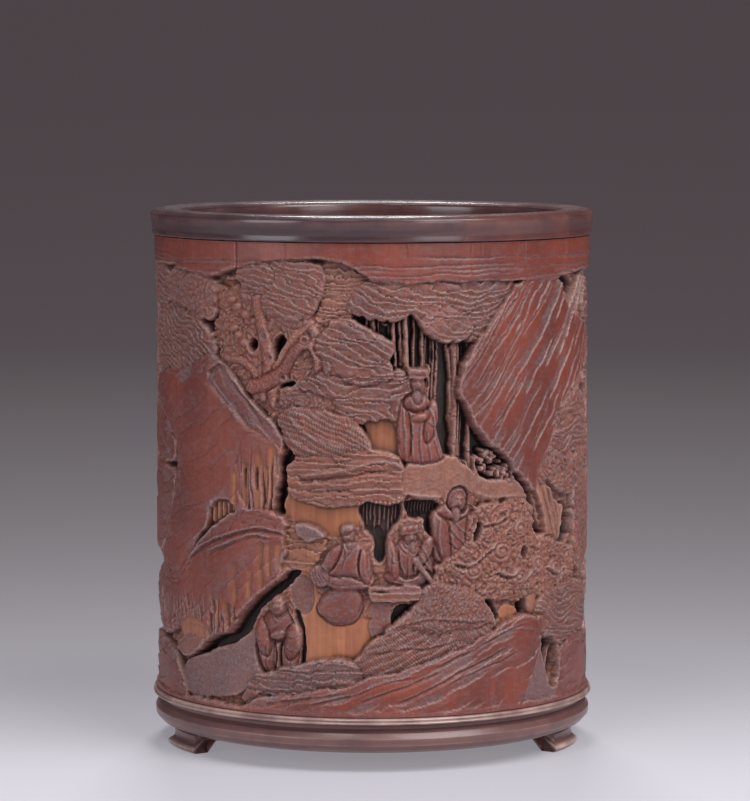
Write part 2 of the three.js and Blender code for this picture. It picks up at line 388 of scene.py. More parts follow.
def ledge(points, top, slope=(0, 0), layers=1.6, seed=0.0, skin=0.5, tint=0.3, grey=0.4):
    """Bedded rock: the same slab with wavering overlapping layers down its face."""
    w, line, d = outlined(points, 1)
    d = d + 0.4 * w.noise("small") + 0.5 * w.noise("long") + 0.9
    w.sink(d, 0.8)
    level = (w.z + 1.5 * w.noise("long") + 0.5 * w.noise("small") + seed) / layers
    up, fine = terraces(level), terraces(2.3 * level + 0.4 * w.noise("middle"))
    r = tilted(w, line, top, slope) - 0.9 * (1 - up) - 0.3 * (1 - fine)
    r = r - 0.35 * np.exp(-np.maximum(d, 0) / SOFT_EDGE)
    w.lay(np.minimum(r, SKIN), ease(d / EDGE + 0.5), skin * up, tint,
          np.clip(grey + 0.3 * (1 - up), 0, 1))


def plain(points, top, slope=(0, 0), skin=0.1, tint=0.5, grey=0.5, smooth=2, rough=0.1,
          edge=EDGE):
    """A smooth sloping surface such as a path, a terrace or the floor of a cut."""
    w, line, d = outlined(points, smooth)
    d = d + 0.35 * w.noise("small") + 0.3 * w.noise("middle")
    r = tilted(w, line, top, slope) + rough * w.noise("small")
    w.lay(np.minimum(r, SKIN), ease(d / edge + 0.5), skin, tint, grey)


def hole(points, depth=FLOOR_OF_CUTS, smooth=2):
    """A deep cut with steep sides."""
    plain(points, depth, skin=0, tint=0.1, grey=0.3, smooth=smooth, rough=0.15, edge=0.7)


# %% [markdown]
# **Leaves.** Each kind of leaf has its own small pattern: pines in wind-blown waves,
# thatch in rows of short strokes, scales like fish skin, and curls like little knots.
# One function holds the outline and the swelling, and each pattern is a formula.

# %% Foliage
def leaf_pattern(kind, w, pitch, lean):
    """Heights of the leaf marks, about -1..0, for one of four patterns."""
    turn = np.radians(lean + 28 * w.noise("broad"))
    c, s, u, z = np.cos(turn), np.sin(turn), w.u - w.u.mean(), w.z - w.z.mean()
    x, y = u * c + z * s, -u * s + z * c
    if kind == "wind":            # thin overlapping sprays, each with a scalloped upper edge
        level = y / pitch + 0.5 * w.noise("long") + 0.35 * w.noise("turned") \
            + 0.7 * np.sin(x / 7 + 2.4 * w.noise("broad"))
        row = np.floor(level)
        level = level + 0.5 * np.abs(np.sin(x / (4.4 + 1.4 * np.sin(3 * row)) + 2.4 * row)) \
            + 0.14 * w.noise("small")
        up = terraces(level)
        hair = ridge(x / 1.5 + 0.9 * up + 0.37 * np.floor(level) + 0.4 * w.noise("small"))
        return -0.95 * (1 - up) ** 0.8 - 0.2 * hair ** 3 * (1 - up) \
            - 0.3 * ease(2.2 * w.noise("middle") - 0.6)
    if kind == "thatch":          # rows of short strokes, each row over the next
        y = y + 1.2 * np.sin(x * 0.16 + w.noise("broad")) + 0.4 * w.noise("middle")
        row, up = np.floor(y / pitch), terraces(y / pitch)
        strokes = ridge(x / 0.8 + 0.37 * row + 0.3 * up + 0.25 * w.noise("small"))
        return -0.6 * (1 - up) - 0.55 * strokes ** 1.2
    if kind == "scales":          # half rounds in offset rows
        y = y + 1.2 * np.sin(x * 0.13 + 1.7 * w.noise("broad")) + 0.3 * w.noise("small")
        row = np.floor(y / pitch)
        a = x / (1.25 * pitch) + 0.5 * (row % 2) + 0.2 * w.noise("small")
        a, b = 2 * (a - np.floor(a)) - 1, y / pitch - row
        return -0.95 * np.clip(a * a + (1 - b) ** 2 - 0.35, 0, 1) - 0.3 * ridge(2.5 * a) * b
    x = x / (1.5 * pitch) + 0.8 * w.noise("middle") + 0.25 * w.noise("small")        # curls
    y = y / (1.1 * pitch) + 0.8 * w.noise("turned") + 0.25 * w.noise("fine")
    near, next_ = cells(x, y)
    gap = np.sqrt(np.clip(1.5 * (next_ - near), 0, 1))
    return gap - 1 - 0.5 * np.exp(-((near - 0.08) / 0.13) ** 2) - 0.35 * ridge(2.4 * near) ** 2


def leaves(points, top, kind, pitch, lean, depth=0.9, skin=0.35, tint=0.2, grey=0.6,
           ragged=0.8, grow=1.3):
    """A clump of foliage: an outline with a ragged edge, swelling by a dome of the
    distance from it, and the leaf pattern cut into its surface."""
    w, line, d = outlined(points, 2)
    d = d + ragged * (w.noise("small") + w.noise("middle")) + grow
    w.sink(d, 0.9)
    dome = 1 - np.exp(-np.maximum(d, 0) / 1.2)
    marks = leaf_pattern(kind, w, pitch, lean)
    r = top + 0.3 - 0.8 * (1 - dome) + depth * marks + 0.1 * w.noise("small") \
        + 0.3 * w.noise("middle")
    shade = np.clip(-marks, 0, 1)
    # The crests of the leaf marks are painted pale through the dust mask: a painted highlight.
    crest_highlight = np.exp(-shade / 0.16)
    w.lay(np.minimum(r, SKIN), ease(d / EDGE + 0.5), skin * (1 - shade), tint + 0.15 * shade,
          np.clip(0.45 * grey + 0.5 * crest_highlight, 0, 1))


def blob(u, z, a, b, seed):
    """An uneven oval outline of ten points round a centre."""
    t = np.arange(10) * 0.2 * np.pi
    k = 1 + 0.16 * np.sin(2 * t + seed) + 0.12 * np.sin(3 * t + 2.3 * seed)
    return np.stack([u + a * k * np.cos(t), z + b * k * np.sin(t)], 1)


def ball(u, z, a, b, top, lean, high, skin=0.4, tint=0.2, grey=0.45):
    """A rounded lump: half an ellipsoid with half widths a and b and the given top."""
    m = max(a, b)
    w = Patch([(u - m, z - m), (u + m, z + m)], 0.8)
    c, s = unit(lean)
    x, y = (w.u - u) * c + (w.z - z) * s, -(w.u - u) * s + (w.z - z) * c
    q = (x / a) ** 2 + (y / b) ** 2
    r = top - high * (1 - np.sqrt(np.clip(1 - q, 0, 1)))
    w.lay(r, ease((1 - q) * min(a, b) / 0.5 + 0.35), skin, tint, grey)


def groove(points, deep, wide, grey=None, times=2, tint=None):
    """A V cut along a line, fading out at both ends; a negative depth raises a ridge."""
    line = rounded(points, times, False)
    w = Patch(line, 1.5)
    d, t = along(line, w.u, w.z)
    bite = np.exp(-(d / wide) ** 2) * ease(np.minimum(t, 1 - t) * 8 + 0.25)
    radius[w.at] = np.minimum(radius[w.at] - deep * bite, SKIN)
    polish[w.at] = polish[w.at] * (1 - 0.5 * np.clip(bite, 0, 1))
    # A grey on a raised ridge paints its crest pale: partly greyed wood and partly a painted highlight.
    for sheet, value in ((dust_and_highlight, grey), (tan, tint)):
        if value is not None:
            sheet[w.at] = sheet[w.at] * (1 - bite) + value * bite


def cut_and_lip(points, deep, wide, shift, high=0.3, lip=0.26, grey=0.7):
    """A V cut, and beside it the low lip that the tool pushes up; the lip's grey paints it pale, partly greyed wood
    and partly a painted highlight.
    """
    line = np.array(points, float)
    groove(line, deep, wide)
    groove(line + shift, -high, lip, grey=grey)


def flutes(marks, sway, back):
    """Broad upright gouges that lay the tan wood bare: place, foot, head and depth."""
    for u, z0, z1, deep in marks:
        groove([(u, z0), (u - sway, (z0 + z1) / 2), (u + back, z1)], 0.8 * deep, 0.9, times=1,
               tint=1)


# %% [markdown]
# **Stems and limbs.** A bamboo stem or a pine limb is a rounded bar along a line, which
# may taper. Bark is a scale pattern that follows the limb.

# %% Trunks, limbs and stems
def limb(points, wide, top, thin=None, bark=0.35, skin=0.35, tint=0.35, grey=0.35, rise=0.9,
         times=2):
    """A bar along a line, half round across, from half width wide to thin."""
    thin = wide if thin is None else thin
    line = rounded(points, times, False)
    w = Patch(line, wide + 1.5)
    d, t = along(line, w.u, w.z)
    half = wide + (thin - wide) * t + 0.12 * w.noise("small") \
        + 0.12 * min(wide, 3) * w.noise("middle")
    q = np.clip(d / np.maximum(half, 0.2), 0, 1)
    r = top - rise * half * (1 - np.sqrt(1 - q * q))
    length = np.hypot(*np.diff(line, axis=0).T).sum()
    if bark:
        r = r - bark * ridge(t * length / 1.5 + 0.8 * w.noise("small")
                             + 0.5 * (q > 0.5)) ** 2 - bark * ridge(d / 0.7) ** 3
    w.lay(np.minimum(r, SKIN), ease((half - d) / 0.35 + 0.5), skin, tint, grey)


def stem(u, z0, z1, wide, top, lean, joints=9.0):
    """A bamboo stem with a raised ring at every joint."""
    limb([(u, z0), (u + lean / 2, (z0 + z1) / 2), (u + lean, z1)], wide, top, wide * 0.8,
         bark=0, skin=0.3, tint=0.4, grey=0.3, rise=1.0, times=1)
    n = max(1, int((z1 - z0) / joints))
    for k in range(n):
        z = z0 + (k + 0.6) * joints
        at = u + lean * (z - z0) / (z1 - z0)
        groove([(at - wide, z), (at, z - 0.15), (at + wide, z)], -0.3, 0.3, times=0)
        groove([(at - wide, z - 0.6), (at + wide, z - 0.6)], 0.35, 0.25, times=0)


def grove(u0, u1, z0, z1, count, seed, floor=FLOOR_OF_CUTS):
    """A stand of bamboo in front of a deep cut; the further stems lie lower."""
    low, high = floor + 1.6, 66.4                # tops of the furthest and nearest stems, mm
    rng = np.random.default_rng(seed)
    places = u0 + (np.arange(count) + 0.5) / count * (u1 - u0) + rng.uniform(-0.7, 0.7, count)
    depths = rng.uniform(0, 1, count)
    for k in np.argsort(depths):
        stem(places[k], z0 + rng.uniform(-1, 2), z1 + rng.uniform(0, 2), 0.4 + 0.45 * depths[k],
             low + (high - low) * depths[k], rng.uniform(-1.3, 1.3), rng.uniform(7, 11))


# %% [markdown]
# **Figures.** The scholars are about 25 mm tall. A carver roughs each one out as a few
# rounded masses and then cuts the folds of the robe with a V tool, so a figure here is a
# list of robe outlines, of lumps and of fold lines in its own millimetres. The faces are plain and
# calm, drawn by the ordinary rules: eyes half way down, the nose to half of what is left.

# %% Heads and robes
def at_figure(points, u, z, size, flip):
    """Moves a figure's own points to their place on the sheet."""
    p = np.array(points, float) * size
    return np.stack([u + (-p[:, 0] if flip else p[:, 0]), z + p[:, 1]], 1)


def head(u, z, r, hat, beard, turn, tilt):
    """A head: skull, ears, beard, nose, eyes, mouth, brow, then the headwear. Its own
    coordinates are counted in head radii r from the middle of the face."""
    top = SKIN - 0.3
    c, s = unit(tilt)

    def spot(x, y):
        return u + r * (x * c - y * s), z + r * (x * s + y * c)

    def line(*points):
        return [spot(*p) for p in points]

    def mark(deep, wide, *points, times=0, grey=None):
        groove(line(*points), deep, wide * r, times=times, grey=grey)

    if hat == "hood":
        ball(*spot(0, 0.05), 1.2 * r, 1.45 * r, top - 0.5, tilt, 1.3 * r, skin=0.7, grey=0.3)
    ball(*spot(0, -0.1), 0.82 * r, 1.05 * r, top, tilt, 0.95 * r, skin=0.6, tint=0.15, grey=0.3)
    for side in (-1, 1):
        if side * turn < 0.5:
            ball(*spot(side * 0.86 - turn * 0.2, -0.1), 0.2 * r, 0.34 * r, top - 0.9 * r, tilt,
                 0.4)
    if beard:
        ball(*spot(0.2 * turn, -1.05 - 0.4 * beard), 0.5 * r, (0.4 + 0.6 * beard) * r, top - 0.25,
             tilt, 0.6 * r, grey=0.6)
        for x in (-0.28, -0.05, 0.2, 0.4):
            groove(line((x + 0.2 * turn, -0.75), (x * 0.8 + 0.25 * turn, -1.2 - 0.8 * beard)),
                   0.3, 0.14, times=0)
    nose = 0.12 * turn
    mark(-0.5 * min(r / 2.5, 1), 0.2, (nose, 0.12), (nose * 1.5, -0.28))
    mark(0.35, 0.11, (-0.55 + nose, 0.2), (-0.12 + nose, 0.14))
    mark(0.35, 0.11, (0.12 + nose, 0.14), (0.55 + nose, 0.2))
    mark(0.3, 0.09, (-0.26 + nose, -0.52), (0.26 + nose, -0.52))
    mark(-0.22, 0.12, (-0.5, 0.42), (0, 0.34), (0.5, 0.42), times=2)
    if hat == "cap":
        ball(*spot(0, 0.62), 0.92 * r, 0.62 * r, top + 0.15, tilt, 0.8 * r, skin=0.6, grey=0.5)
        mark(0.4, 0.1, (-0.9, 0.38), (0, 0.3), (0.9, 0.38), times=2)
    elif hat == "square":
        hatbox = line((-1.0, 0.45), (1.0, 0.45), (1.05, 1.55), (-1.05, 1.5))
        plain(hatbox, top + 0.1, skin=0.7, tint=0.1, grey=0.3, smooth=0, rough=0.02)
        mark(0.4, 0.1, (-1.0, 0.75), (1.0, 0.75))
        mark(-0.3, 0.12, (-1.0, 1.5), (0, 1.56), (1.05, 1.5), times=2, grey=0.8)
        mark(0.3, 0.09, (-0.35, 0.8), (-0.35, 1.45))
        mark(0.3, 0.09, (0.4, 0.8), (0.4, 1.45))
    elif hat == "bun":
        ball(*spot(0, 0.62), 0.86 * r, 0.55 * r, top, tilt, 0.8 * r, grey=0.5)
        ball(*spot(0, 1.25), 0.42 * r, 0.4 * r, top - 0.2, tilt, 0.8, grey=0.5)
        for x in (-0.5, -0.2, 0.1, 0.4):
            mark(0.22, 0.08, (x, 0.45), (x * 0.7, 1.0))
    elif hat == "hood":
        mark(0.22, 0.12, (-0.95, -0.9), (-1.0, 0.1), (-0.6, 0.85), (0, 1.0), (0.6, 0.85),
             (1.0, 0.1), (0.95, -0.9), times=2)
        mark(-0.15, 0.12, (-1.15, -0.6), (-1.2, 0.4), (-0.7, 1.2), (0, 1.4), (0.7, 1.2),
             (1.2, 0.4), times=2, grey=0.7)


def cloth(points, top, high):
    """A robe's mass: from its outline it rises by a quarter round, then stays level."""
    w = Patch(points, 1)
    d = inside(points, w.u, w.z) + 0.12 * w.noise("small")
    q = 1 - np.clip(d / (1.3 * high), 0, 1)
    r = top - high * (1 - np.sqrt(1 - q * q)) + 0.15 * w.noise("middle")
    w.lay(r, ease(d / 0.35 + 0.5), 0.6, 0.12, 0.3)


# A robe is an outline, how far its top is below the skin, and how high it stands.
# A lump is x, y, half width, half height, lean, how far its top is below the skin.
# Folds are lines, and the neck is where the head sits. All are mm from the figure's foot.
STANDING = dict(
    robes=[([(-6.2, -0.4), (-7.2, 5), (-7.4, 11), (-5.4, 16.4), (-2.6, 18), (3, 18), (5.6, 16.2),
             (7.6, 11), (7.4, 5), (6.2, -0.4)], 1.4, 2.6)],
    lumps=[(0.3, 6, 5.6, 7.2, 0, 2.0), (-3.6, 6, 3.6, 6.6, 7, 2.0), (3.9, 6.2, 3.2, 6.4, -6, 1.9),
           (0, 13.6, 5.4, 4.6, 0, 1.4), (4.9, 9.4, 2.7, 5.4, -8, 0.9),
           (-4.6, 10, 2.7, 5.6, 12, 1.0), (0.4, 11.4, 2.6, 1.7, 12, 0.6)],
    folds=[[(-2.2, 17.2), (0.3, 13.8), (2.8, 17.2)], [(-1.2, 17.6), (0.5, 15.2), (2, 17.6)],
           [(-0.8, 10.6), (-1.6, 5), (-0.8, 0.3)], [(1.4, 10.4), (1.0, 5), (2.2, 0.3)],
           [(-3.4, 8), (-3.9, 4), (-3.2, 0.5)], [(-5.3, 6), (-5.6, 3), (-4.9, 1)],
           [(4.4, 4), (4.0, 0.6)], [(2.9, 11.4), (5.0, 10.3), (7.2, 11.0)],
           [(3.0, 8.4), (5.0, 6.8), (7.0, 8)], [(-7, 10.5), (-4.8, 8.8), (-2.8, 9.8)],
           [(-6.6, 7.2), (-4.8, 5.9), (-3.2, 6.8)], [(-4.4, 12.0), (0.3, 13.4), (5.2, 13.8)],
           [(-4.2, 10.4), (0.4, 11.0), (4.6, 12.0)], [(-5, 15.5), (-3.6, 13.6), (-3.4, 12.4)],
           [(5, 15.6), (4.0, 14.6), (3.2, 13.8)]],
    neck=(0.3, 19.6))
ROBED = dict(
    robes=[([(-5.4, 0.4), (-6.2, 6), (-5.8, 13), (-4.8, 19), (-1.8, 21.6), (2.4, 21.4),
             (4.8, 18.6), (5.6, 13), (7.2, 7), (9.0, 1.4), (5.0, 0.2), (0, -0.2)], 1.1, 2.4)],
    lumps=[(-3.9, 9.6, 2.1, 9.4, 3, 0.5), (4.2, 12.4, 2.3, 6.8, -14, 0.3),
           (0, 18, 4.4, 3.0, 0, 0.6), (0.8, 13.6, 3.0, 1.7, 12, 0.2)],
    folds=[[(-2.0, 11.6), (-2.4, 6), (-1.8, 0.4)], [(0.6, 11), (0.2, 5), (1.0, 0.3)],
           [(2.6, 9.4), (3.0, 4), (4.2, 0.6)], [(4.8, 7), (6.0, 3.6), (7.4, 1.2)],
           [(-2.2, 20.8), (0.2, 16.6), (2.4, 20.8)], [(-4.2, 17), (-4.6, 10), (-4.2, 2)],
           [(3.0, 17.4), (4.6, 12.6), (5.2, 7.4)], [(2.4, 12.2), (4.4, 10.6), (6.4, 11.2)]],
    neck=(0.2, 23.8))
SEATED = dict(
    robes=[([(-9.4, 6.4), (-7.4, 10.6), (-3.6, 13.6), (2, 15.2), (6.6, 12), (7.6, 7.4), (5.4, 3),
             (1, 0.8), (-4, 1.2), (-7.6, 3)], 1.9, 2.6),
           ([(-7.2, 14.6), (-2, 12.6), (4, 12.2), (9.8, 13.2), (11.2, 16.8), (8.6, 20.4),
             (2, 20.8), (-4, 19.4)], 0.9, 2.0),
           ([(-6.6, 18), (-4.6, 23), (-2.4, 27), (0.8, 29.4), (5.2, 29), (8.4, 26.4), (9.8, 21),
             (10.6, 16), (7.4, 15), (2.6, 17.2), (-2.4, 17)], 0.8, 2.2)],
    lumps=[(-3.6, 22.4, 2.3, 6.4, -34, 0.3), (7.8, 20.4, 2.2, 6.2, 4, 0.3),
           (-7.6, 17.0, 2.6, 3.2, 30, 0.4)],
    folds=[[(-9, 7.4), (-8.2, 4.2), (-4, 2.4), (1, 2.2), (5.2, 4.6), (7, 8.6)],
           [(-8, 8.8), (-2, 9.4), (5.6, 12.4)], [(-5.4, 11.6), (-1, 11.4), (4.6, 14.2)],
           [(-4.6, 15.4), (2.6, 14.2), (9.4, 15.2)], [(-3, 17.4), (3, 16.4), (9.4, 18)],
           [(-4.2, 25.4), (-6.2, 21.4), (-8.4, 18.6)], [(0.2, 28.4), (1.6, 24), (0.2, 19.4)],
           [(5.2, 28), (3.4, 25), (1.2, 22.6)], [(6.4, 26.6), (6.0, 21.6), (6.4, 17)],
           [(8.8, 24.6), (9.0, 20.4), (9.6, 17)]],
    neck=(2.2, 31.0))
AT_TABLE = dict(
    robes=[([(-8, 0.4), (-7.6, 5), (-6.4, 11), (-3.6, 14.6), (3.4, 14.8), (6.6, 11.4), (8.6, 6.4),
             (8.2, 0.6)], 1.2, 2.4)],
    lumps=[(0, 3, 8.4, 3.4, 0, 1.3), (0, 9, 5.4, 6.8, 0, 0.8), (-5.2, 8.6, 2.2, 6.6, 10, 0.3),
           (4.9, 10, 2.2, 6.4, -28, 0.3)],
    folds=[[(-3.4, 13.6), (-0.4, 9.6), (2.4, 13.8)], [(-2.2, 14.2), (-0.3, 11.4), (1.6, 14.2)],
           [(-3.0, 11.6), (-3.4, 7.4), (-1.8, 3.6)], [(2.6, 10.6), (1.4, 7), (2.2, 3)],
           [(-5.8, 11.6), (-5.6, 7.4), (-5.8, 3.8)], [(-6.2, 8.6), (-4.8, 7.4), (-3.4, 8)],
           [(3.4, 12.6), (5.2, 9.4), (7.6, 6.6)], [(2.4, 10.4), (4.4, 7.6), (6.6, 5.4)],
           [(-6.4, 2.6), (0, 1.4), (6.2, 2.4)], [(-5.2, 1.2), (0, 0.3), (5.4, 1.2)],
           [(-0.3, 9), (-0.5, 5), (0, 2)]],
    neck=(0.6, 15.6))
TALL_SEATED = dict(
    robes=[([(-7.2, -0.4), (-7.8, 6), (-6.8, 13), (-4.6, 16.6), (4.8, 16.6), (7, 12.6), (7.6, 6),
             (7, -0.4)], 1.3, 2.4)],
    lumps=[(0, 7, 6.8, 8.4, 6, 1.3), (-4.8, 7.4, 2.6, 7.6, 12, 0.5), (4.6, 7.6, 2.7, 7.2, -8, 0.7),
           (-0.6, 14.4, 5.4, 2.8, 0, 0.7)],
    folds=[[(-3.2, 16.4), (-0.4, 12.6), (3, 16.2)], [(-2.0, 16.8), (-0.2, 14.4), (1.8, 16.8)],
           [(-5.8, 12), (-6.6, 7), (-5.2, 2)], [(-2.6, 12.4), (0.6, 8.6), (4.2, 6.6)],
           [(-3, 9.6), (0.2, 6), (3.6, 4)], [(-3.2, 6.4), (-0.4, 3.4), (3, 1.8)],
           [(5.6, 11.6), (6.2, 7), (5.2, 3)]],
    neck=(0.2, 17.6))


def figure(kind, u, z, size=1.0, flip=False, hat="cap", beard=0.0, turn=0.0, tilt=0.0, r=2.5,
           grey=0.35):
    """Lays a figure's robes and lumps, cuts its folds and sets its head on the neck."""
    for outline, below, high in kind["robes"]:
        cloth(at_figure(rounded(outline), u, z, size, flip), SKIN - below, high)
    for x, y, a, b, lean, below in kind["lumps"]:
        (pu, pz), = at_figure([(x, y)], u, z, size, flip)
        ball(pu, pz, a * size, b * size, SKIN - below, -lean if flip else lean,
             min(1.25 * min(a, b), 3.0) * size ** 0.5, skin=0.75, tint=0.1, grey=0.6 * grey)
    for fold in kind["folds"]:
        cut_and_lip(at_figure(fold, u, z, size, flip), 0.5, 0.3, [0.45, 0.2], grey=0.8)
    (pu, pz), = at_figure([kind["neck"]], u, z, size, flip)
    head(pu, pz, r * size, hat, beard, -turn if flip else turn, -tilt if flip else tilt)


# %% [markdown]
# **The sides and the back** carry the picture on round the pot: more cliffs and pines, a
# thatched hut in a grove, and travellers on a path. Small clumps of leaves are scattered
# first, and the larger forms are cut over them.

# %% Back: foliage behind, then cliffs, grove and hut
KINDS = ("wind", "curls", "wind", "scales", "wind", "thatch")
places = [(u, z) for z in (142, 118, 94, 72, 50, 30) for u in range(112, 332, 22)]
for k, (u, z) in enumerate(places):
    du, dz = 5 * math.sin(2.7 * k), 4 * math.sin(4.1 * k)
    leaves(blob(u + du, z + dz, 13 + 2 * math.sin(5 * k), 8.5 + 2 * math.sin(3 * k), k),
           69.2 + 0.4 * math.sin(1.9 * k), KINDS[k % 6], 1.9 + 0.2 * math.sin(k),
           25 * math.sin(1.3 * k), grey=0.5 + 0.15 * math.sin(k))
hole([(152, 92), (176, 90), (184, 100), (186, 124), (178, 134), (160, 135), (150, 126),
      (148, 104)], smooth=1)
grove(151, 184, 91, 136, 19, 31)
hole([(-172, 62), (-160, 58), (-148, 60), (-142, 72), (-146, 86), (-160, 90), (-172, 82)])
grove(-170, -144, 60, 88, 9, 8, floor=63)
hole(blob(126, 60, 8, 12, 1.0), 63)
hole(blob(-118, 118, 6, 9, 2.0), 63)
hole(blob(208, 70, 7, 10, 3.0), 63)
leaves([(146, 132), (152, 142), (166, 147), (184, 144), (192, 134), (186, 128), (174, 131),
        (160, 127)], 69.4, "wind", 2.0, 5, grey=0.6)
BACK_ROCKS = [
    ([(104, 62), (108, 92), (114, 118), (122, 136), (130, 141), (137, 128), (144, 110), (146, 96),
      (138, 84), (134, 66), (122, 58)], 58, 1.2, 0.3),
    ([(186, 62), (184, 84), (190, 108), (198, 128), (206, 140), (214, 143), (220, 126), (228, 104),
      (232, 84), (226, 66), (206, 58)], 63, 1.1, 1.4),
    ([(-206, 92), (-196, 100), (-186, 122), (-176, 140), (-164, 142), (-158, 126), (-152, 108),
      (-148, 94), (-164, 88), (-186, 84)], -52, 1.0, 0.7),
    ([(-140, 60), (-136, 84), (-128, 102), (-118, 108), (-112, 96), (-108, 76), (-114, 62),
      (-128, 54)], 66, 1.2, 2.1),
    ([(104, 17), (108, 34), (122, 44), (140, 40), (154, 28), (164, 17)], 30, 1.3, 0.2),
    ([(184, 17), (192, 30), (208, 40), (226, 44), (240, 34), (250, 17)], -28, 1.2, 1.1),
    ([(-176, 17), (-168, 34), (-150, 42), (-134, 34), (-122, 28), (-112, 17)], 26, 1.1, 2.4)]
for points, lean, strength, seed in BACK_ROCKS:
    rock(points, 69.85, streak=lean, amount=strength, seed=seed, grey=0.08,
         gouges=12 * (seed > 1))
    middle = np.mean(points, 0)
    a, b = unit(lean)
    for k in range(5):                           # bowed cuts along the streaks
        x, y = 5.2 * (k - 2) + 1.8 * math.sin(4 * k + seed), 6 * math.sin(7 * k + seed)
        n = 6 + 4 * math.sin(3 * k + 2 * seed)
        line = [(middle[0] + a * (y + t * n) - b * x,
                 middle[1] + b * (y + t * n) + a * x + 0.6 * t * t) for t in (-1, 0, 1)]
        cut_and_lip(line, 0.8, 0.5, [-0.6, 0.5], 0.4, 0.32, 0.9)
ledge([(146, 90), (158, 93), (176, 92), (186, 84), (180, 76), (164, 74), (150, 78)], 69.3,
      slope=(0, 0.03), layers=2.3, grey=0.4)
ledge([(-212, 60), (-196, 68), (-178, 66), (-168, 58), (-182, 50), (-204, 50)], 69.3, layers=2.4,
      tint=0.4)
ledge([(136, 38), (146, 44), (160, 35), (178, 37), (190, 31), (202, 40), (195, 50), (201, 60),
       (184, 63), (174, 71), (158, 66), (148, 70), (139, 60), (143, 50)], 68.2, slope=(0, -0.02),
      layers=3.4, skin=0.15, tint=0.85, grey=0.25)
ledge([(-134, 36), (-142, 45), (-154, 40), (-172, 42), (-184, 33), (-198, 38), (-192, 48),
       (-180, 50), (-166, 57), (-150, 53), (-136, 56), (-140, 46)], 68.2, layers=3.0, skin=0.15,
      tint=0.75, grey=0.4)

# %% Back: the hut, the pines and the people
for u in (-166, -159, -152, -147):
    stem(u, 62, 80, 0.9, 68.4, 0, 30)
plain([(-170, 64), (-144, 64), (-144, 60.5), (-170, 60.5)], 69.0, smooth=0, tint=0.3, grey=0.4)
leaves([(-176, 76), (-168, 84), (-160, 91), (-152, 91), (-144, 83), (-138, 76), (-150, 79),
        (-164, 79)], 69.8, "thatch", 2.4, 0, depth=1.0, ragged=0.3, grow=0.3)
groove([(-161, 91.5), (-156, 92.4), (-151, 91.5)], -0.5, 0.7, grey=0.8)
for u, z, flip in ((148, 104, 1), (-200, 104, -1), (-108, 110, -1)):
    trunk = np.array([(0, -14), (3, 0), (-1, 12), (4, 24), (2, 34)], float) * [flip, 1] + [u, z]
    limb(trunk, 2.5, 69.4, 1.4, grey=0.3)
    for branch in (((2, 2), (9, 8), (16, 8)), ((0, 12), (-8, 17), (-14, 24)),
                   ((3, 22), (10, 28), (15, 34))):
        limb([(u + flip * x, z + y) for x, y in branch], 1.3, 69.5, 0.7, grey=0.4)
    for k, (x, y) in enumerate(((15, 10), (-13, 24), (13, 36), (-2, 40))):
        leaves(blob(u + flip * x, z + y, 10, 4.6, k + u), 69.7, "wind", 1.8, 6 * flip, grey=0.65)
figure(STANDING, 160, 46, 1.02, hat="cap", turn=0.4, beard=0.6, r=2.7)
limb([(167.5, 46), (168, 58), (167.4, 68)], 0.55, 69.7, 0.5, bark=0, skin=0.6)
figure(STANDING, 178, 44, 0.92, flip=True, hat="bun", turn=-0.5, r=2.6)
figure(TALL_SEATED, -156, 63.5, 0.86, hat="square", beard=0.5, r=2.5)
figure(STANDING, -166, 38.5, 0.8, hat="bun", turn=0.5, r=2.6, grey=0.45)
figure(AT_TABLE, -190, 68, 0.95, hat="hood", beard=0.4, turn=0.4, r=2.5)

# %% [markdown]
# **Composing the front.** The picture is laid from the back to the front, as it is cut:
# first the caves, then the far trees, the cliffs, the people, and last the rocks along
# the bottom. Places are millimetres round the pot from the front, and height.

# %% Front: the far layer
def everywhere(z0, z1):
    return Patch([(-GIRTH / 2 + 0.01, z0), (GIRTH / 2 - 1.5 * STEP_U, z1)], 0)


plain([(-24, 158), (2, 158), (4, 140), (-8, 134), (-24, 138)], 66.8, tint=0.75, grey=0.3)
ledge([(-17, 157), (-6, 157), (2, 152), (2, 147), (-2, 143), (-7, 139.5), (-14, 138.5),
       (-20, 140), (-17, 148)], 68.1, layers=1.5, skin=0.25, tint=0.65, grey=0.35)
hole([(-62, 139), (-57, 141), (-52, 144.5), (-49, 148.5), (-45, 148), (-49.5, 144), (-52.5, 139),
      (-55.5, 134), (-60, 133), (-63, 136)])
hole([(2, 143), (16, 143), (19, 137), (34, 136), (38, 137), (33, 131), (29, 122), (29, 116),
      (32, 111), (37, 106), (40, 101), (34, 96), (24, 96), (20, 100), (19, 110), (20, 120),
      (18, 127), (10, 121), (4, 122), (5, 130), (3, 133), (-4, 136), (-7, 141)], smooth=1)
grove(-4.5, 3.5, 131, 141, 5, 3, floor=63.5)
grove(5, 18.5, 119, 142, 7, 11)
grove(17.5, 22.8, 97, 137, 4, 5)
grove(26, 33.4, 93, 131, 6, 6)
stem(27.2, 96, 136, 1.0, 66.8, 0.4)
stem(11.4, 120, 142, 1.0, 67.4, -0.8)
plain([(-4, 110), (8, 110), (9, 98), (4, 97), (-2, 99)], 65.6, tint=1, grey=0.05)
hole([(-6, 109), (-3, 108), (-1.5, 103), (-0.5, 100), (-2.5, 100.5), (-4.5, 104)], 63.6)

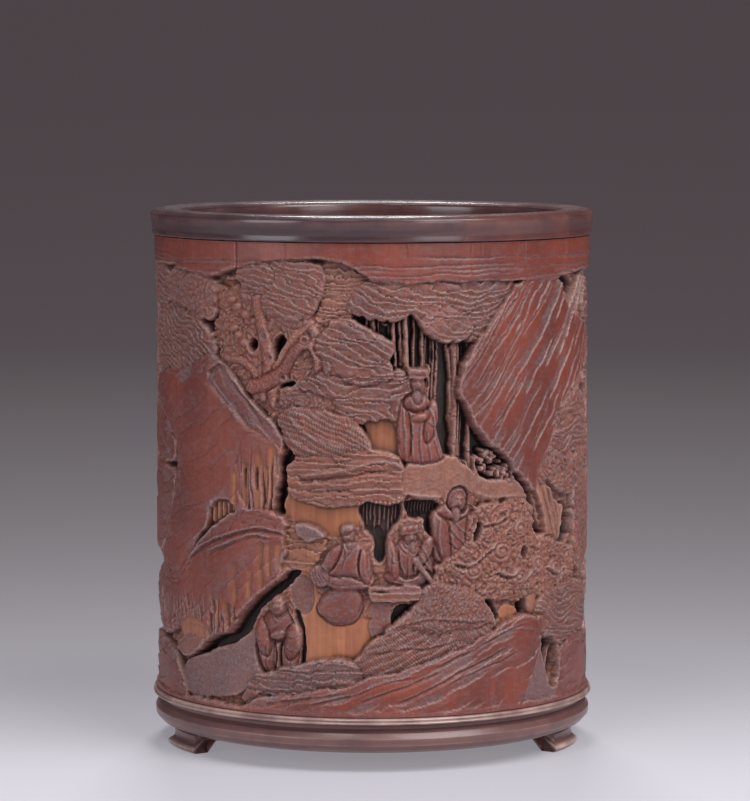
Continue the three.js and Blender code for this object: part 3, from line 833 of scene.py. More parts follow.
# %% Front: pine on the left
leaves([(-104, 158), (-95, 159), (-88, 155), (-83, 150), (-83.5, 144), (-90, 141), (-104, 141)],
       69.6, "wind", 1.9, 20, grey=0.7)
leaves([(-82, 151), (-76, 153.5), (-68, 152.5), (-60, 151), (-53, 149.5), (-49.5, 146.5),
        (-52, 142.5), (-57, 139.5), (-64, 139.5), (-72, 141), (-80, 143)], 69.5, "curls", 2.1,
       10, grey=0.6)
leaves([(-98, 140), (-84, 140.5), (-70, 140.5), (-62.5, 137.5), (-57, 133), (-54, 130.5),
        (-58, 126.5), (-65, 123.5), (-74, 121), (-86, 121), (-99, 124)], 69.5, "wind", 1.9, -6,
       grey=0.65)
leaves([(-53, 150), (-45, 152.5), (-39, 150), (-36, 144), (-37, 138), (-41, 131.5), (-48, 129.5),
        (-55, 131.5), (-56, 136), (-52, 140), (-50, 145)], 68.6, "curls", 2.1, -20, tint=0.5,
       grey=0.4)
plain([(-55, 151), (-44, 151.5), (-42, 148), (-47, 147), (-52, 148.5)], 66.3, tint=1, grey=0)
plain([(-57, 137), (-52.5, 137.5), (-51.5, 133.5), (-56, 134)], 66.6, tint=1, grey=0)
hole([(-17.6, 149), (-16, 147.5), (-17.5, 142), (-20.5, 139.5), (-19.4, 144)], 63.5)
leaves([(-52, 148), (-44, 150), (-30, 148), (-20, 142), (-15, 136), (-15, 124), (-22, 112),
        (-31, 108), (-40, 114), (-50, 124), (-56, 132)], 68.8, "curls", 3.4, 20, depth=1.3,
       skin=0.6, tint=0.35, grey=0.2)
for k in range(9):                               # burls
    ball(-48 + 2.9 * (k % 4) + 0.8 * math.sin(5 * k), 145 - 2.2 * k, 1.9, 1.4, 69.4,
         25 * math.sin(2 * k), 1.2, skin=0.6, tint=0.35, grey=0.3)
limb([(-24, 147), (-29, 143), (-34, 137)], 0.8, 69.0, 1.3)
hole([(-30.8, 135), (-27.5, 134), (-27, 130), (-30, 126.5), (-32.8, 126), (-32.4, 130)])
hole([(-25.5, 121), (-23.8, 119), (-27.5, 116.3), (-32, 115.8), (-30, 118.5)])
hole([(-40.6, 132.6), (-38, 132.6), (-38.2, 129.6), (-40.4, 129.8)], 63.5)
limb([(-22, 138.6), (-27, 137.6), (-31.5, 140.5)], 1.3, 69.0, 0.9, grey=0.5)
limb([(-50, 127), (-43, 126.4), (-38, 122), (-36, 115)], 1.3, 69.4, 1.6, bark=0.4, skin=0.5,
     grey=0.2)
limb([(-20.4, 139), (-17.6, 135.4), (-19, 131), (-17, 127)], 1.5, 69.7, 1.2, grey=0.6)
limb([(-18.4, 133.6), (-14, 129), (-10.6, 126.4), (-8, 123)], 0.9, 69.4, 0.6, grey=0.5)
limb([(-26, 115), (-21.4, 119), (-18, 124), (-18.6, 129)], 1.2, 68.6, 0.9, grey=0.5)
leaves([(-42.5, 153), (-38, 156.5), (-30, 158), (-21, 157), (-16, 155.5), (-15.5, 150.5),
        (-17.5, 146), (-19, 141.5), (-26, 140.5), (-33, 141.5), (-39, 144), (-44, 148)], 69.6,
       "wind", 1.9, 3, depth=0.8, grey=0.65)
limb([(-31.5, 114), (-33, 123), (-34.6, 131), (-36.6, 138.5), (-38.2, 145), (-36.6, 152)], 2.9,
     69.9, 1.5, bark=0.4, skin=0.75, tint=0.35, grey=0.15)
leaves([(-44, 153), (-40, 156.5), (-34, 156), (-32, 152), (-34.5, 148.6), (-38, 147.6),
        (-43, 149)], 69.9, "wind", 1.6, 8, depth=0.8, grey=0.65)
limb([(-31, 124), (-28, 130.4), (-24, 135), (-19, 139)], 1.5, 69.6, 0.8, bark=0.4, tint=0.6,
     grey=0.3)
limb([(-40, 118.4), (-33.6, 119.8), (-28.2, 124), (-24.4, 130.4), (-20.4, 132.8), (-17.6, 129),
      (-17, 124), (-14.4, 118.4)], 2.7, 70, 0.9, bark=0.35, skin=0.8, tint=0.25, grey=0.15)
for u, z, r in ((-35.4, 134, 1.1), (-33, 127.6, 0.8), (-28.6, 121.6, 0.9), (-21.4, 133.6, 0.9)):
    ball(u, z, r * 1.7, r * 1.9, 69.6, 15, 0.8, grey=0.3)
    ball(u, z, r, r * 1.15, 68.7, 15, -1.0, skin=0, tint=0.1, grey=0.2)

# %% Front: the wind-blown canopy and the thatched mound
leaves([(-26, 118), (-20, 121), (-14, 123), (-4, 123.5), (6, 123), (10.5, 122), (12.5, 118.5),
        (13, 114.5), (10.5, 111), (5, 110.6), (-1, 109), (-8, 109), (-14, 111.5), (-21, 114)],
       69.2, "wind", 1.9, -4, depth=1.0, grey=0.6)
leaves([(-17, 130), (-17.5, 135), (-12, 138.5), (-6, 138.8), (-2, 135.5), (2.5, 134.6),
        (5.6, 132), (6.2, 129), (4.4, 126.4), (6, 123), (1, 121), (-7, 121.5), (-12, 124),
        (-15, 127)], 69.7, "wind", 1.9, -4, depth=1.0, grey=0.6)
leaves([(-30, 110), (-29, 116), (-23, 118), (-16, 116), (-12, 113), (-16, 110), (-24, 108.5)],
       68.6, "curls", 1.2, 0, grey=0.5)
leaves([(-30, 109.5), (-24, 111.5), (-16, 110.5), (-9, 109.6), (-5.4, 107.6), (-3, 104),
        (-0.6, 100.6), (-4, 98), (-10, 96), (-18, 96.5), (-25, 99), (-28, 103)], 69.4, "thatch",
       1.7, -12, depth=0.95, grey=0.55, ragged=0.3)
groove([(-26, 110), (-21, 104.5), (-14, 101.5), (-9, 100)], -0.55, 0.5, grey=0.7)
groove([(-28, 106), (-24, 101), (-17, 98.4)], -0.4, 0.4, grey=0.7)

# %% Front: the crown of the grove
leaves([(-8, 144.5), (-3, 150), (8, 152), (25, 152), (49, 151.5), (47, 147.5), (42.5, 143),
        (38.5, 138), (36.5, 134.5), (33, 133.4), (31, 136), (27, 135.4), (18, 135.2),
        (17, 139), (13.5, 143), (9, 141), (4, 139.6), (-1, 141)], 69.2, "wind", 1.9, 9,
       depth=0.9, grey=0.6)
leaves([(17, 138.5), (21, 141.5), (28, 141), (32.5, 137.4), (30, 133.8), (24, 134.6),
        (18, 135)], 69.8, "wind", 1.9, 0, depth=0.7, grey=0.75)

# %% Front: the left cliff
rock([(-112, 111), (-90, 109.5), (-82, 101.5), (-77, 98.6), (-77.4, 92.6), (-90, 91.4),
      (-112, 95)], 69.5, streak=-30, seed=0.6)
hole([(-78, 99), (-75.6, 98.6), (-75.8, 92.6), (-78.4, 92)], 64)
rock([(-112, 92), (-90, 91), (-78, 90.4), (-78.6, 82), (-83, 76), (-87, 67), (-96, 62),
      (-112, 64)], 69.6, streak=10, seed=1.7, grey=0.2)
rock([(-58, 128.5), (-51, 125), (-46, 119.5), (-40, 113.5), (-33, 106.5), (-28.8, 101),
      (-29.2, 93), (-31, 84), (-33.5, 79), (-46, 78), (-60, 70), (-70, 60), (-78, 55),
      (-92, 59), (-86, 68), (-81.5, 77), (-77, 84), (-75.5, 92), (-75.8, 99), (-81, 102.5),
      (-90, 110), (-99, 113), (-97, 119), (-85, 121.5), (-72, 121.5), (-66, 123.5)], 69.8,
     streak=25, amount=0.8, seed=0.2, lines=1.0, grey=0.05, skin=0.95)
rock([(-52, 125.6), (-45, 118.6), (-37, 111), (-29.4, 104.4), (-28.8, 100), (-34, 102.4),
      (-40, 106), (-46.4, 110.6), (-52.6, 115.6), (-58.4, 121.4)], 69.3, slope=(0.02, 0),
     streak=-45, amount=1.3, grey=0.4, skin=0.6)
groove([(-57, 120.4), (-52, 115.6), (-46.6, 111), (-44.6, 107.6)], -0.5, 0.4, grey=0.85)
groove([(-50.4, 124), (-45, 118), (-38.6, 112), (-33, 107.6)], -0.45, 0.35, grey=0.85)
groove([(-48, 120), (-43, 115), (-38, 110), (-36, 106)], 0.8, 0.4)
groove([(-44.6, 107), (-47.4, 110), (-49, 113.4)], -0.4, 0.35, grey=0.85)
rock([(-45, 100), (-40, 104), (-34, 102.6), (-30.2, 99.4), (-30.6, 84.4), (-33, 80.4),
      (-44.6, 80)], 69.4, gouges=20, lines=0.2, tint=0.2, soft=0.3)
flutes(((-42.4, 81, 95, 1.6), (-37.6, 81, 99, 1.2), (-35.2, 82, 95, 1.7), (-32.6, 84, 101, 1.1),
        (-46.4, 82, 92, 0.7)), 0.3, 0.4)
hole([(-28.9, 100.4), (-25.4, 99.4), (-26, 96), (-27.2, 90), (-28.4, 84), (-29.4, 78.6),
      (-31.8, 79.6), (-30.9, 86), (-29.6, 93)])

# %% Front: ledges in the middle
plain([(-28.6, 87), (-20, 84), (-8, 84), (-2, 83), (-4, 76), (-10, 73), (-16, 72.5), (-20, 77),
       (-26, 77.5), (-29.4, 80)], 66.3, slope=(0, 0.04), tint=1, grey=0.0)
ledge([(-26.4, 96.5), (-18, 97), (-8, 97), (-2, 99.6), (4, 99), (8.6, 96.5), (10.4, 91),
       (9.4, 85), (5, 82.4), (0, 83), (-8, 84), (-16, 82.6), (-23, 84), (-27.4, 88)], 69.4,
      slope=(0.01, 0.02), layers=2.6, skin=0.75, tint=0.5, grey=0.15)
groove([(-25, 90.4), (-16, 90.6), (-8, 92), (0, 93.6), (8, 92.6)], 1.0, 0.5)
groove([(-24, 92), (-15, 92.4), (-7, 94), (0, 96.4), (6, 96.8), (10, 93.6)], -0.6, 0.5, grey=0.95)
groove([(-22, 87), (-14, 86.6), (-6, 87.6)], 0.8, 0.45)
hole([(-3.6, 84), (1, 83.6), (6, 83), (9.4, 84), (9, 78), (5, 75), (3.4, 66), (1, 66), (0.4, 72),
      (-2, 75), (-4, 80)], 63.6)
for k in range(9):
    groove([(-3 + 1.35 * k, 74.5 + 1.7 * (k % 3)), (-2.8 + 1.35 * k, 84.4)], -1.2, 0.32, times=0)
plain([(9.4, 96.6), (15, 96), (22, 99.6), (30, 95.4), (34.6, 91), (40, 89.6), (47, 89.2),
       (51.6, 90.4), (55.4, 86.6), (58, 82.8), (52, 82.4), (46, 83.4), (39, 82.6), (34, 85.4),
       (29, 89), (24, 86), (22.6, 84), (17, 84.6), (10.6, 85.2), (9, 90)], 68.2,
      slope=(0.004, 0.06), tint=0.62, grey=0.55, rough=0.15)
groove([(10, 86.2), (17, 85.6), (22.6, 85)], -0.5, 0.45, grey=0.9)
groove([(34, 86.4), (39.6, 83.8), (46, 84.4), (56.6, 83.6)], -0.4, 0.45, grey=0.7)
hole([(9.6, 85), (22.6, 83.6), (22, 80), (19, 76), (17, 79), (11, 79.4)], 63)
for k in range(11):
    groove([(9.8 + 1.12 * k, 79.4 + 0.6 * (k % 2)), (10 + 1.12 * k, 84.6)], -1.3, 0.28, times=0)

# %% Front: the great slab, its pebbles and the pine root
hole([(34.6, 108), (36.4, 106), (40, 101), (48, 94.6), (55, 89), (58.4, 83), (60.6, 76),
      (65, 69), (57.6, 70), (55.6, 76), (57.2, 82), (53, 87.6), (50.4, 90), (40, 90), (35, 92),
      (34.4, 100)])
rng = np.random.default_rng(21)
for k in range(90):
    u, z = rng.uniform(33.5, 50.5), rng.uniform(88.8, 99.2)
    if z < 99.6 - 0.55 * max(0, u - 38) and z > 93.6 - 0.32 * (u - 33.5):
        a = rng.uniform(0.7, 1.15)
        ball(u, z, a, a * rng.uniform(0.7, 1.0), 68.0 + rng.uniform(-0.5, 0.6),
             rng.uniform(-40, 40), 1.1, skin=0.35, tint=0.3, grey=0.5)
rock([(27.6, 117), (29.6, 125), (35.6, 133), (43.6, 142), (51, 151), (60, 151), (70.6, 150.4),
      (74, 146), (79.6, 139.8), (90, 137), (99, 133), (99, 124), (90, 121), (81, 117.4),
      (72.6, 112), (68.6, 106), (66, 101), (61.4, 94.6), (58.8, 89), (56.8, 84), (52.4, 90.4),
      (46, 95.4), (40, 101), (34, 107), (30.4, 112)], 69.95, streak=52, amount=1.2, seed=0.9,
     pitch=3.0, lines=0.7, grey=0.03, skin=1.0)
for *line, deep in (
        ((29.6, 121), (38, 131.6), (47, 146), 0.9), ((34, 110.6), (41, 118), (49.4, 130.6), 0.9),
        ((40.4, 130), (47.6, 138), (55, 150), 0.9), ((36, 116), (43, 124.6), (52, 139), 0.7),
        ((40, 106), (45.6, 112), (52, 121), 0.9), ((48, 101), (52.6, 110.6), (60, 119), 0.9),
        ((50, 133), (57, 140), (66, 149.6), 0.7), ((62, 124), (67, 130.6), (74, 137), 0.9),
        ((55, 97.6), (59.4, 103), (64, 113), 0.6), ((67, 118), (71.6, 126), (76, 136), 0.6),
        ((44, 140), (48.6, 145), (53, 150.6), 0.8), ((33, 118), (36, 122), (41, 129.6), 0.7)):
    cut_and_lip(line, 0.6 * deep, 0.4, [-0.6, 0.4])
groove([(61.6, 95.6), (66.4, 102.6), (69.4, 108.4), (74, 113), (82, 117.8), (91, 121)], -0.5, 0.4,
       grey=0.9)
hole([(72.6, 150), (80, 152), (87, 150), (85, 145), (80, 140.4), (76.6, 143), (74, 146.6)], 63)
hole([(84, 143), (90, 148), (97, 147), (99, 140.6), (91, 137.6), (85, 139)], 63.2)
limb([(79, 139.6), (84, 144.4), (89, 149.6), (93, 153)], 1.1, 69.0, 0.8, grey=0.7)
limb([(86, 139), (91, 143), (97, 150)], 0.9, 68.6, 0.7, grey=0.6)
plain([(59, 94), (62, 89), (66, 85), (69.4, 80.6), (74.6, 79.8), (73.6, 74), (72, 70),
       (71.6, 65.6), (68, 66), (65.4, 69), (63, 75), (61, 81), (58.6, 86)], 69.2, tint=0.75,
      grey=0.45, skin=0.3)
for line in (((60, 90), (63, 82), (68, 70)), ((62, 90), (66, 82), (70, 70)),
             ((67, 84), (69.4, 78), (70.6, 68)), ((64, 86), (66, 80), (67.6, 73)),
             ((72.6, 79), (72, 74), (71.4, 68))):
    cut_and_lip(line, 0.7, 0.35, [0.8, 0.1], 0.35, 0.3, 0.8)
hole([(74.4, 80), (80, 80), (84, 76.6), (85, 70), (82, 65.6), (76, 66), (71.8, 69), (73.2, 74)],
     63.4)
ball(86, 75.4, 3.0, 1.8, 68.8, -20, 1.5, tint=0.6)

# %% Front: leaves on the right
leaves([(60.6, 88.6), (62, 94), (66, 99), (69, 105), (73, 110), (80, 113), (90, 114), (99, 109),
        (101, 98), (96, 90), (88, 85.6), (80, 83.4), (73, 84), (68, 88), (64, 87)], 69.5,
       "curls", 2.1, 0, depth=1.1, grey=0.55)
leaves([(66, 99.6), (72, 104.4), (80, 106), (92, 105), (97, 100), (88, 97.6), (78, 97)], 69.7,
       "wind", 1.9, 6, grey=0.6)
hole([(80.6, 96), (85, 95.6), (85.6, 93.6), (81.6, 93.8)], 63.6)
hole([(67, 106), (69, 105), (68, 102.6), (66.6, 103.6)], 64)
hole([(63, 88), (67, 86.6), (72, 82.6), (69, 81.4), (66, 85)], 63.4)
leaves([(84, 84), (92, 88), (104, 86), (110, 76), (106, 62), (94, 57), (86, 60), (86, 70),
        (85, 77)], 69.4, "curls", 2.1, 30, grey=0.45)

# %% Front: the hump, its gap and the path
plain([(-68, 62), (-63, 70.6), (-58, 75), (-57, 81), (-52, 83), (-46, 82), (-46, 78), (-54, 73),
       (-60, 67)], 66.9, tint=0.9, grey=0.15)
for k in range(5):
    groove([(-56.6 + 2.2 * k, 75 + k), (-56 + 2.2 * k, 82.4)], -1.6, 0.6, times=0)
rock([(-69.6, 61.6), (-64, 67), (-58, 72.4), (-50, 77), (-44, 80.2), (-36, 80.8), (-30, 79.4),
      (-26.2, 75.6), (-26.4, 68), (-28.8, 61), (-32, 57.4), (-38, 53), (-42, 49), (-47, 43),
      (-52, 39.6), (-60, 37.4), (-67, 40.4), (-76, 41.6), (-85, 36.4), (-97, 40), (-103, 52),
      (-90, 60), (-78, 56)], 69.7, streak=38, amount=0.9, seed=2.0, gouges=15, grey=0.05,
     skin=0.95)
for line, deep in (([(-68.6, 62), (-60, 67.6), (-50, 71.4), (-40, 74.4), (-31, 74.6),
                     (-27, 72)], 0.8),
                   ([(-58, 65.4), (-49, 69), (-40, 72.2), (-32, 72)], 0.5)):
    cut_and_lip(line, deep, 0.5, [0, 0.8], 0.5, 0.4, 0.9)
groove([(-69, 62), (-63, 67.6), (-57.6, 72.6), (-50, 77.4), (-44, 80.4), (-37, 80.8)], -0.5, 0.5,
       grey=0.9)
flutes(((-36.6, 56, 71, 1.6), (-33.6, 60, 71, 1.1), (-46.6, 51, 64, 1.2), (-49.4, 43, 51, 1.8),
        (-53.6, 42, 52, 1.0), (-57, 40, 47, 1.6), (-30, 62, 71, 0.8), (-41, 53, 62, 0.8)), 0.4,
       0.3)
ledge([(-27.4, 76.6), (-23, 73), (-17, 72), (-14.8, 70.4), (-18, 66), (-21, 61), (-26, 60.6),
       (-28.6, 62), (-26.8, 69)], 68.4, layers=2.6, tint=0.75, grey=0.15)
plain([(-26.4, 77), (-22, 77.4), (-17, 75.6), (-14, 73), (-17, 71.6), (-22, 71.8)], 69.5,
      slope=(0, 0.05), tint=0.1, grey=0.9)
hole([(-27, 62), (-21.6, 61.6), (-27, 58.4), (-31, 55), (-37, 51), (-40, 46), (-43, 41),
      (-50, 37.4), (-58, 35.2), (-68, 31.8), (-77, 28.8), (-72, 32.6), (-62, 37), (-54, 39),
      (-47, 43.6), (-41, 50.6), (-36, 55.4), (-31, 58.4)])
rock([(-76, 41), (-70, 44), (-64, 43.4), (-59, 40.4), (-60, 37.4), (-66, 37), (-73, 37)], 68.7,
     tint=0.8, grey=0.3, skin=0.3)
rock([(-79, 33.4), (-74, 37.6), (-67, 39), (-61, 37), (-66, 33.6), (-74, 30.4)], 68.9, tint=0.45,
     grey=0.5, skin=0.4, streak=20)
plain([(-76, 29.6), (-66, 32.6), (-58, 35), (-50, 37), (-43, 40), (-38, 45), (-34, 38),
       (-36, 30), (-42, 24), (-50, 21), (-66, 19), (-72, 20)], 67.8, slope=(0.0, -0.05),
      tint=0.12, grey=0.95, rough=0.06)
groove([(-50, 21.6), (-42, 23.4), (-34, 26)], -0.5, 0.6, grey=0.9)
ball(-63, 25, 1.3, 1.3, 68.4, 0, 0.8, grey=0.9)
rock([(-106, 35), (-92, 36), (-82, 33), (-76, 28.4), (-72, 22), (-70, 17), (-106, 17)], 69.6,
     streak=20, grey=0.25, seed=1.0)

# %% Front: the ground, the table and the four friends
plain([(-25, 61), (-20, 62), (-18, 56), (-16, 50), (2, 48), (7, 52), (7, 44), (1, 36), (-4, 33),
       (-12, 34), (-22, 32), (-26, 36), (-24, 50)], 66.6, tint=0.95, grey=0.05)
plain([(-26, 61), (-19, 60), (-19, 50), (-24, 48), (-27, 54)], 66.0, tint=0.25, grey=0.5)
hole([(-26.4, 50), (-23.4, 49), (-21.6, 40), (-22, 33), (-24, 33), (-23.6, 42)], 64.4)
hole([(0.6, 76), (3.6, 76), (4.6, 66), (1, 65.6)], 63)
hole([(16.6, 79), (20.6, 80), (20.4, 74), (18.6, 72)], 63)
hole([(34, 82), (38.6, 82.6), (37, 76), (33.4, 68), (31.6, 69), (34, 76)], 63.4)
figure(TALL_SEATED, 27.8, 64.6, 1.1, hat="hood", beard=0.8, turn=-0.6, tilt=-6, r=2.9)
figure(AT_TABLE, 11.6, 57.8, 0.98, hat="square", beard=0.7, turn=0.6, tilt=4, r=2.5)
limb([(13.6, 66), (16.6, 62.4), (19.8, 58.6)], 1.0, 69.4, 0.6, bark=0, grey=0.85)
figure(SEATED, -9.6, 44.6, 0.95, hat="cap", beard=0.5, turn=-0.8, tilt=16, r=2.7)
ball(-16.6, 60.6, 3.2, 3.6, 69.2, 10, 1.4, grey=0.5)
for k in range(4):
    groove([(-19.2 + k, 62.8 - 0.4 * k), (-17.6 + k, 57.6 + 0.4 * k)], 0.5, 0.22, times=0)
groove([(-19.8, 61), (-18.6, 64), (-15.6, 64.4), (-13.6, 62)], -0.4, 0.35, grey=0.8)
hole([(6, 52), (14, 52.4), (13, 49), (8.6, 47), (7.6, 44.6), (6.2, 45)], 63.2)
plain([(-0.6, 52.6), (6, 52.6), (6.2, 44), (0.4, 42), (-0.4, 46)], 67.6, smooth=0, tint=0.1,
      grey=0.6, skin=0.3)
plain([(-1.6, 56.2), (16, 56.4), (16, 52.8), (-0.6, 52.8)], 69.4, smooth=0, tint=0.45, grey=0.35,
      skin=0.5, rough=0.03)
plain([(-1.6, 58), (15.4, 58), (16.2, 56), (-1.6, 55.8)], 69.0, smooth=0, tint=0.15, grey=0.5,
      skin=0.6, rough=0.03)
groove([(-1, 55.8), (16, 55.9)], -0.4, 0.3, grey=0.9, times=0)
groove([(-0.6, 54.4), (16, 54.4)], 0.3, 0.2, times=0)
figure(STANDING, -31.4, 29.6, 1.12, hat="none", turn=0.3, tilt=-3, r=3.0, grey=0.2)
figure(ROBED, 14.4, 95.6, 1.04, hat="square", turn=-0.5, beard=0.7, r=3.0, grey=0.2)

# %% Front: the gnarled bushes and the scaled mound
leaves([(33, 79), (38, 81.6), (46, 82.4), (52, 82), (57, 80.6), (56.4, 74), (58, 70), (65, 69.4),
        (72, 66.6), (80, 65), (86, 60.6), (84, 54), (78, 50), (72, 52.4), (66, 50), (62, 52),
        (58, 53), (52, 51.4), (46, 53), (40, 52.4), (34, 54), (28, 57.4), (22, 58.6), (20.6, 62),
        (25, 66), (29, 67), (32, 71)], 69.2, "curls", 2.7, 0, depth=1.4, skin=0.6, tint=0.4,
       grey=0.4)
for k, (u, z, r) in enumerate((
        (43.6, 67, 3.8), (33, 62, 2.6), (51, 74, 2.8), (37.6, 74, 2.2),
        (51, 58.6, 3.0), (59.4, 62, 2.6), (68.6, 59.6, 3.2), (77, 58, 2.4))):
    a = np.linspace(0, 3.6 * np.pi, 24)
    reach = r * (1 - a / 13)
    spiral = np.stack([u + reach * np.cos(a + k), z + 0.85 * reach * np.sin(a + k)], 1)
    ball(u, z, r + 0.7, 0.85 * r + 0.7, 69.9, 0, 1.4, skin=0.5, tint=0.4, grey=0.4)
    groove(spiral, 0.9, 0.33, times=0, tint=0.7)
for line in ([(26, 64.6), (32, 63.6), (37, 66.4), (41, 69)], [(36, 76), (42, 76.4), (46, 79)],
             [(42, 61.4), (47, 59), (51, 60.6)], [(53, 57), (58, 60), (60, 65)],
             [(64, 61), (70, 58), (76, 60)], [(66, 53), (72, 55), (74, 62)]):
    groove(line, -0.6, 0.45, grey=0.75)
    groove(np.array(line) - [0, 1.0], 0.9, 0.4)
hole([(37, 53), (41, 52.4), (44, 47), (42, 45), (39.6, 48)])
hole([(50.4, 51), (55, 52), (55, 47), (52.4, 46.2)])
hole([(60.4, 52), (63.4, 50.4), (62.8, 47), (61.4, 48)], 63.2)
hole([(52.6, 68), (54.6, 67), (54, 63.4), (52.4, 64)], 64)
hole([(34.6, 77), (36.6, 76), (34.6, 70.4), (33, 71)], 63.4)
plain([(43.6, 50.4), (50.4, 50), (52, 46.6), (44.6, 45.6)], 67.2, tint=1, grey=0)
ball(57.6, 49.6, 3.2, 3.6, 68.8, 0, 1.6, tint=0.6, grey=0.3)
leaves([(4, 42), (9, 46.4), (14, 51), (17, 56.6), (21, 58.4), (27, 57), (33, 54.4), (38, 50.4),
        (41, 46), (38, 42), (30, 40), (20, 40), (10, 39)], 69.6, "curls", 1.15, 8, depth=0.8,
       grey=0.5, ragged=0.3)
leaves([(-1, 38), (3, 41.6), (9, 43.6), (16, 42.6), (24, 41.4), (34, 43), (40, 45), (38, 41),
        (28, 37.6), (16, 33), (8, 31), (-1, 28.4), (-6, 30), (-5.6, 33.4)], 69.5, "thatch", 2.2,
       18, depth=1.0, grey=0.5, ragged=0.3)
for line in ([(12, 46), (20, 47.4), (30, 45.6), (38, 46)],
             [(0, 36.6), (8, 38.4), (18, 38.4), (28, 40.4)]):
    cut_and_lip(line, 0.4, 0.4, [0, 0.8], lip=0.4)

# %% Front: the rocks along the bottom
plain([(48, 17), (54, 24), (58, 31), (60, 39.6), (63, 38), (64.6, 30), (66.4, 23), (71, 21),
       (76, 17)], 68.4, slope=(0, -0.03), tint=0.2, grey=0.9, rough=0.05)
leaves([(59, 46), (62, 51), (70, 52.6), (82, 54), (96, 52), (101, 42), (92, 36), (83, 34),
        (76, 36), (72, 33.6), (68, 37), (63, 39)], 69.4, "wind", 1.9, -10, grey=0.55)
hole([(62.6, 35), (64, 38), (68, 38), (71, 34), (71, 27), (68.6, 23), (66.4, 23), (65, 28)], 62.8)
limb([(67, 27), (68, 31), (70.4, 35)], 0.6, 66.4, 0.5, bark=0)
rock([(71.4, 33), (78, 35), (90, 36), (106, 35), (110, 17), (72, 17), (69, 20), (72, 26)], 69.6,
     streak=15, grey=0.2, seed=0.3)
ledge([(-36, 29.6), (-28, 31.4), (-18, 34), (-9, 34.6), (-3.6, 32), (-3.6, 27.4), (-10, 27),
       (-18, 25), (-26, 24), (-36, 21.4), (-44, 20.6), (-42, 25)], 69.3, slope=(0, 0.05),
      layers=2.4, seed=0.4, skin=0.6, tint=0.15, grey=0.6)
rock([(-46, 17), (-40, 20.6), (-30, 22.4), (-20, 24), (-10, 26.6), (0, 29.6), (10, 31.4),
      (20, 34.4), (30, 38), (40, 42.4), (48, 46), (54, 47), (59, 45), (61, 40), (59.4, 33),
      (56, 26), (52, 20.6), (50, 17)], 69.95, streak=22, amount=1.2, seed=0.5, lines=0.5,
     pitch=3.0, grey=0.03, skin=1.0)
for *line, deep in (
        ((-20, 20.6), (-6, 24), (6, 28.6), (14, 30), 0.8), ((-4, 22), (10, 26.6), (22, 31.6), 0.9),
        ((8, 21.4), (20, 27), (34, 33), (46, 37), 0.9), ((24, 27), (36, 31.4), (50, 35.4), 0.7),
        ((20, 32.6), (32, 37), (44, 42), (54, 44), 0.8),
        ((-34, 20.4), (-20, 22.6), (-8, 25), 0.6), ((40, 40), (48, 42.6), (58, 41), 0.5)):
    cut_and_lip(line, 0.65 * deep, 0.42, [-0.25, 0.6], lip=0.28)
rock([(61, 46), (63.6, 42), (61, 39.6), (59, 42)], 69.4)

# %% [markdown]
# **The plain bands.** Above the picture a belt of the culm's own skin is left, with long
# level lines like drifting mist along its lower edge, and below it a narrow skirt. The
# skin has split a little from drying, in fine upright cracks.

# %% Belt, mist lines, skirt and cracks
BELT = np.array([(-220, 153), (-150, 152), (-105, 153), (-90, 154.5), (-75, 154), (-66, 152.6),
                 (-58, 151.8), (-48, 153.6), (-40, 156), (-30, 158), (-18, 158), (-9, 157),
                 (0, 151.4), (10, 151), (48, 150.8), (70, 150.2), (80, 152), (100, 152.6),
                 (150, 153.5), (220, 153)], float)
w = everywhere(140, SHEET_HIGH + 1)
edge = np.interp(w.u, BELT[:, 0], BELT[:, 1]) + 0.5 * w.noise("long")
w.lay(SKIN, ease((w.z - edge) / 0.5), 1.0, 0.1, 0.05)
mist = np.zeros(w.u.shape)
for k, level in enumerate((150.6, 151.5, 152.3, 153.4, 154.2, 155.5, 156.4, 157.4, 158.6)):
    height = level + 0.5 * np.sin(w.u / (17 + 3 * k) + 1.9 * k) + 0.35 * w.noise("long")
    broken = ease(1.6 * np.sin(w.u / (13.0 + 2 * k) + 2.3 * k) + 0.7)
    mist += np.exp(-((w.z - height) / (0.2 + 0.03 * (k % 3))) ** 2) * broken
mist *= ease((159.2 - w.z) / 1.0) * ease((w.z - edge + 1.2) / 1.0)
mist = np.clip(mist, 0, 1)
w.lay(radius[w.at] - 0.45 * mist, np.ones(w.u.shape))
polish[w.at] *= 1 - 0.7 * mist
dust_and_highlight[w.at] = np.clip(dust_and_highlight[w.at] + 0.7 * mist, 0, 1)
w = everywhere(SHEET_LOW - 1, 24)
skirt_top = 19.5 + 0.5 * w.noise("middle") + 0.3 * w.noise("small")
w.lay(SKIN - 0.05, ease((skirt_top - w.z) / 0.6), 0.7, 0.1, 0.35)
for u, z, deep in ((-44.7, 154.5, 1.1), (-27, 158.4, 0.25), (-6, 158.5, 0.25), (10.6, 158.2, 0.3),
                   (31.4, 158.4, 0.25), (35, 159, 0.2), (51.6, 158, 0.3), (73, 156, 0.4),
                   (-71, 158, 0.3), (104, 155, 0.6), (148, 157, 0.4), (-122, 154, 0.9),
                   (-165, 157, 0.3), (196, 156, 0.5)):
    groove([(u, z), (u + 0.15, (z + SHEET_HIGH) / 2), (u, SHEET_HIGH + 2)], deep, 0.17, times=0)
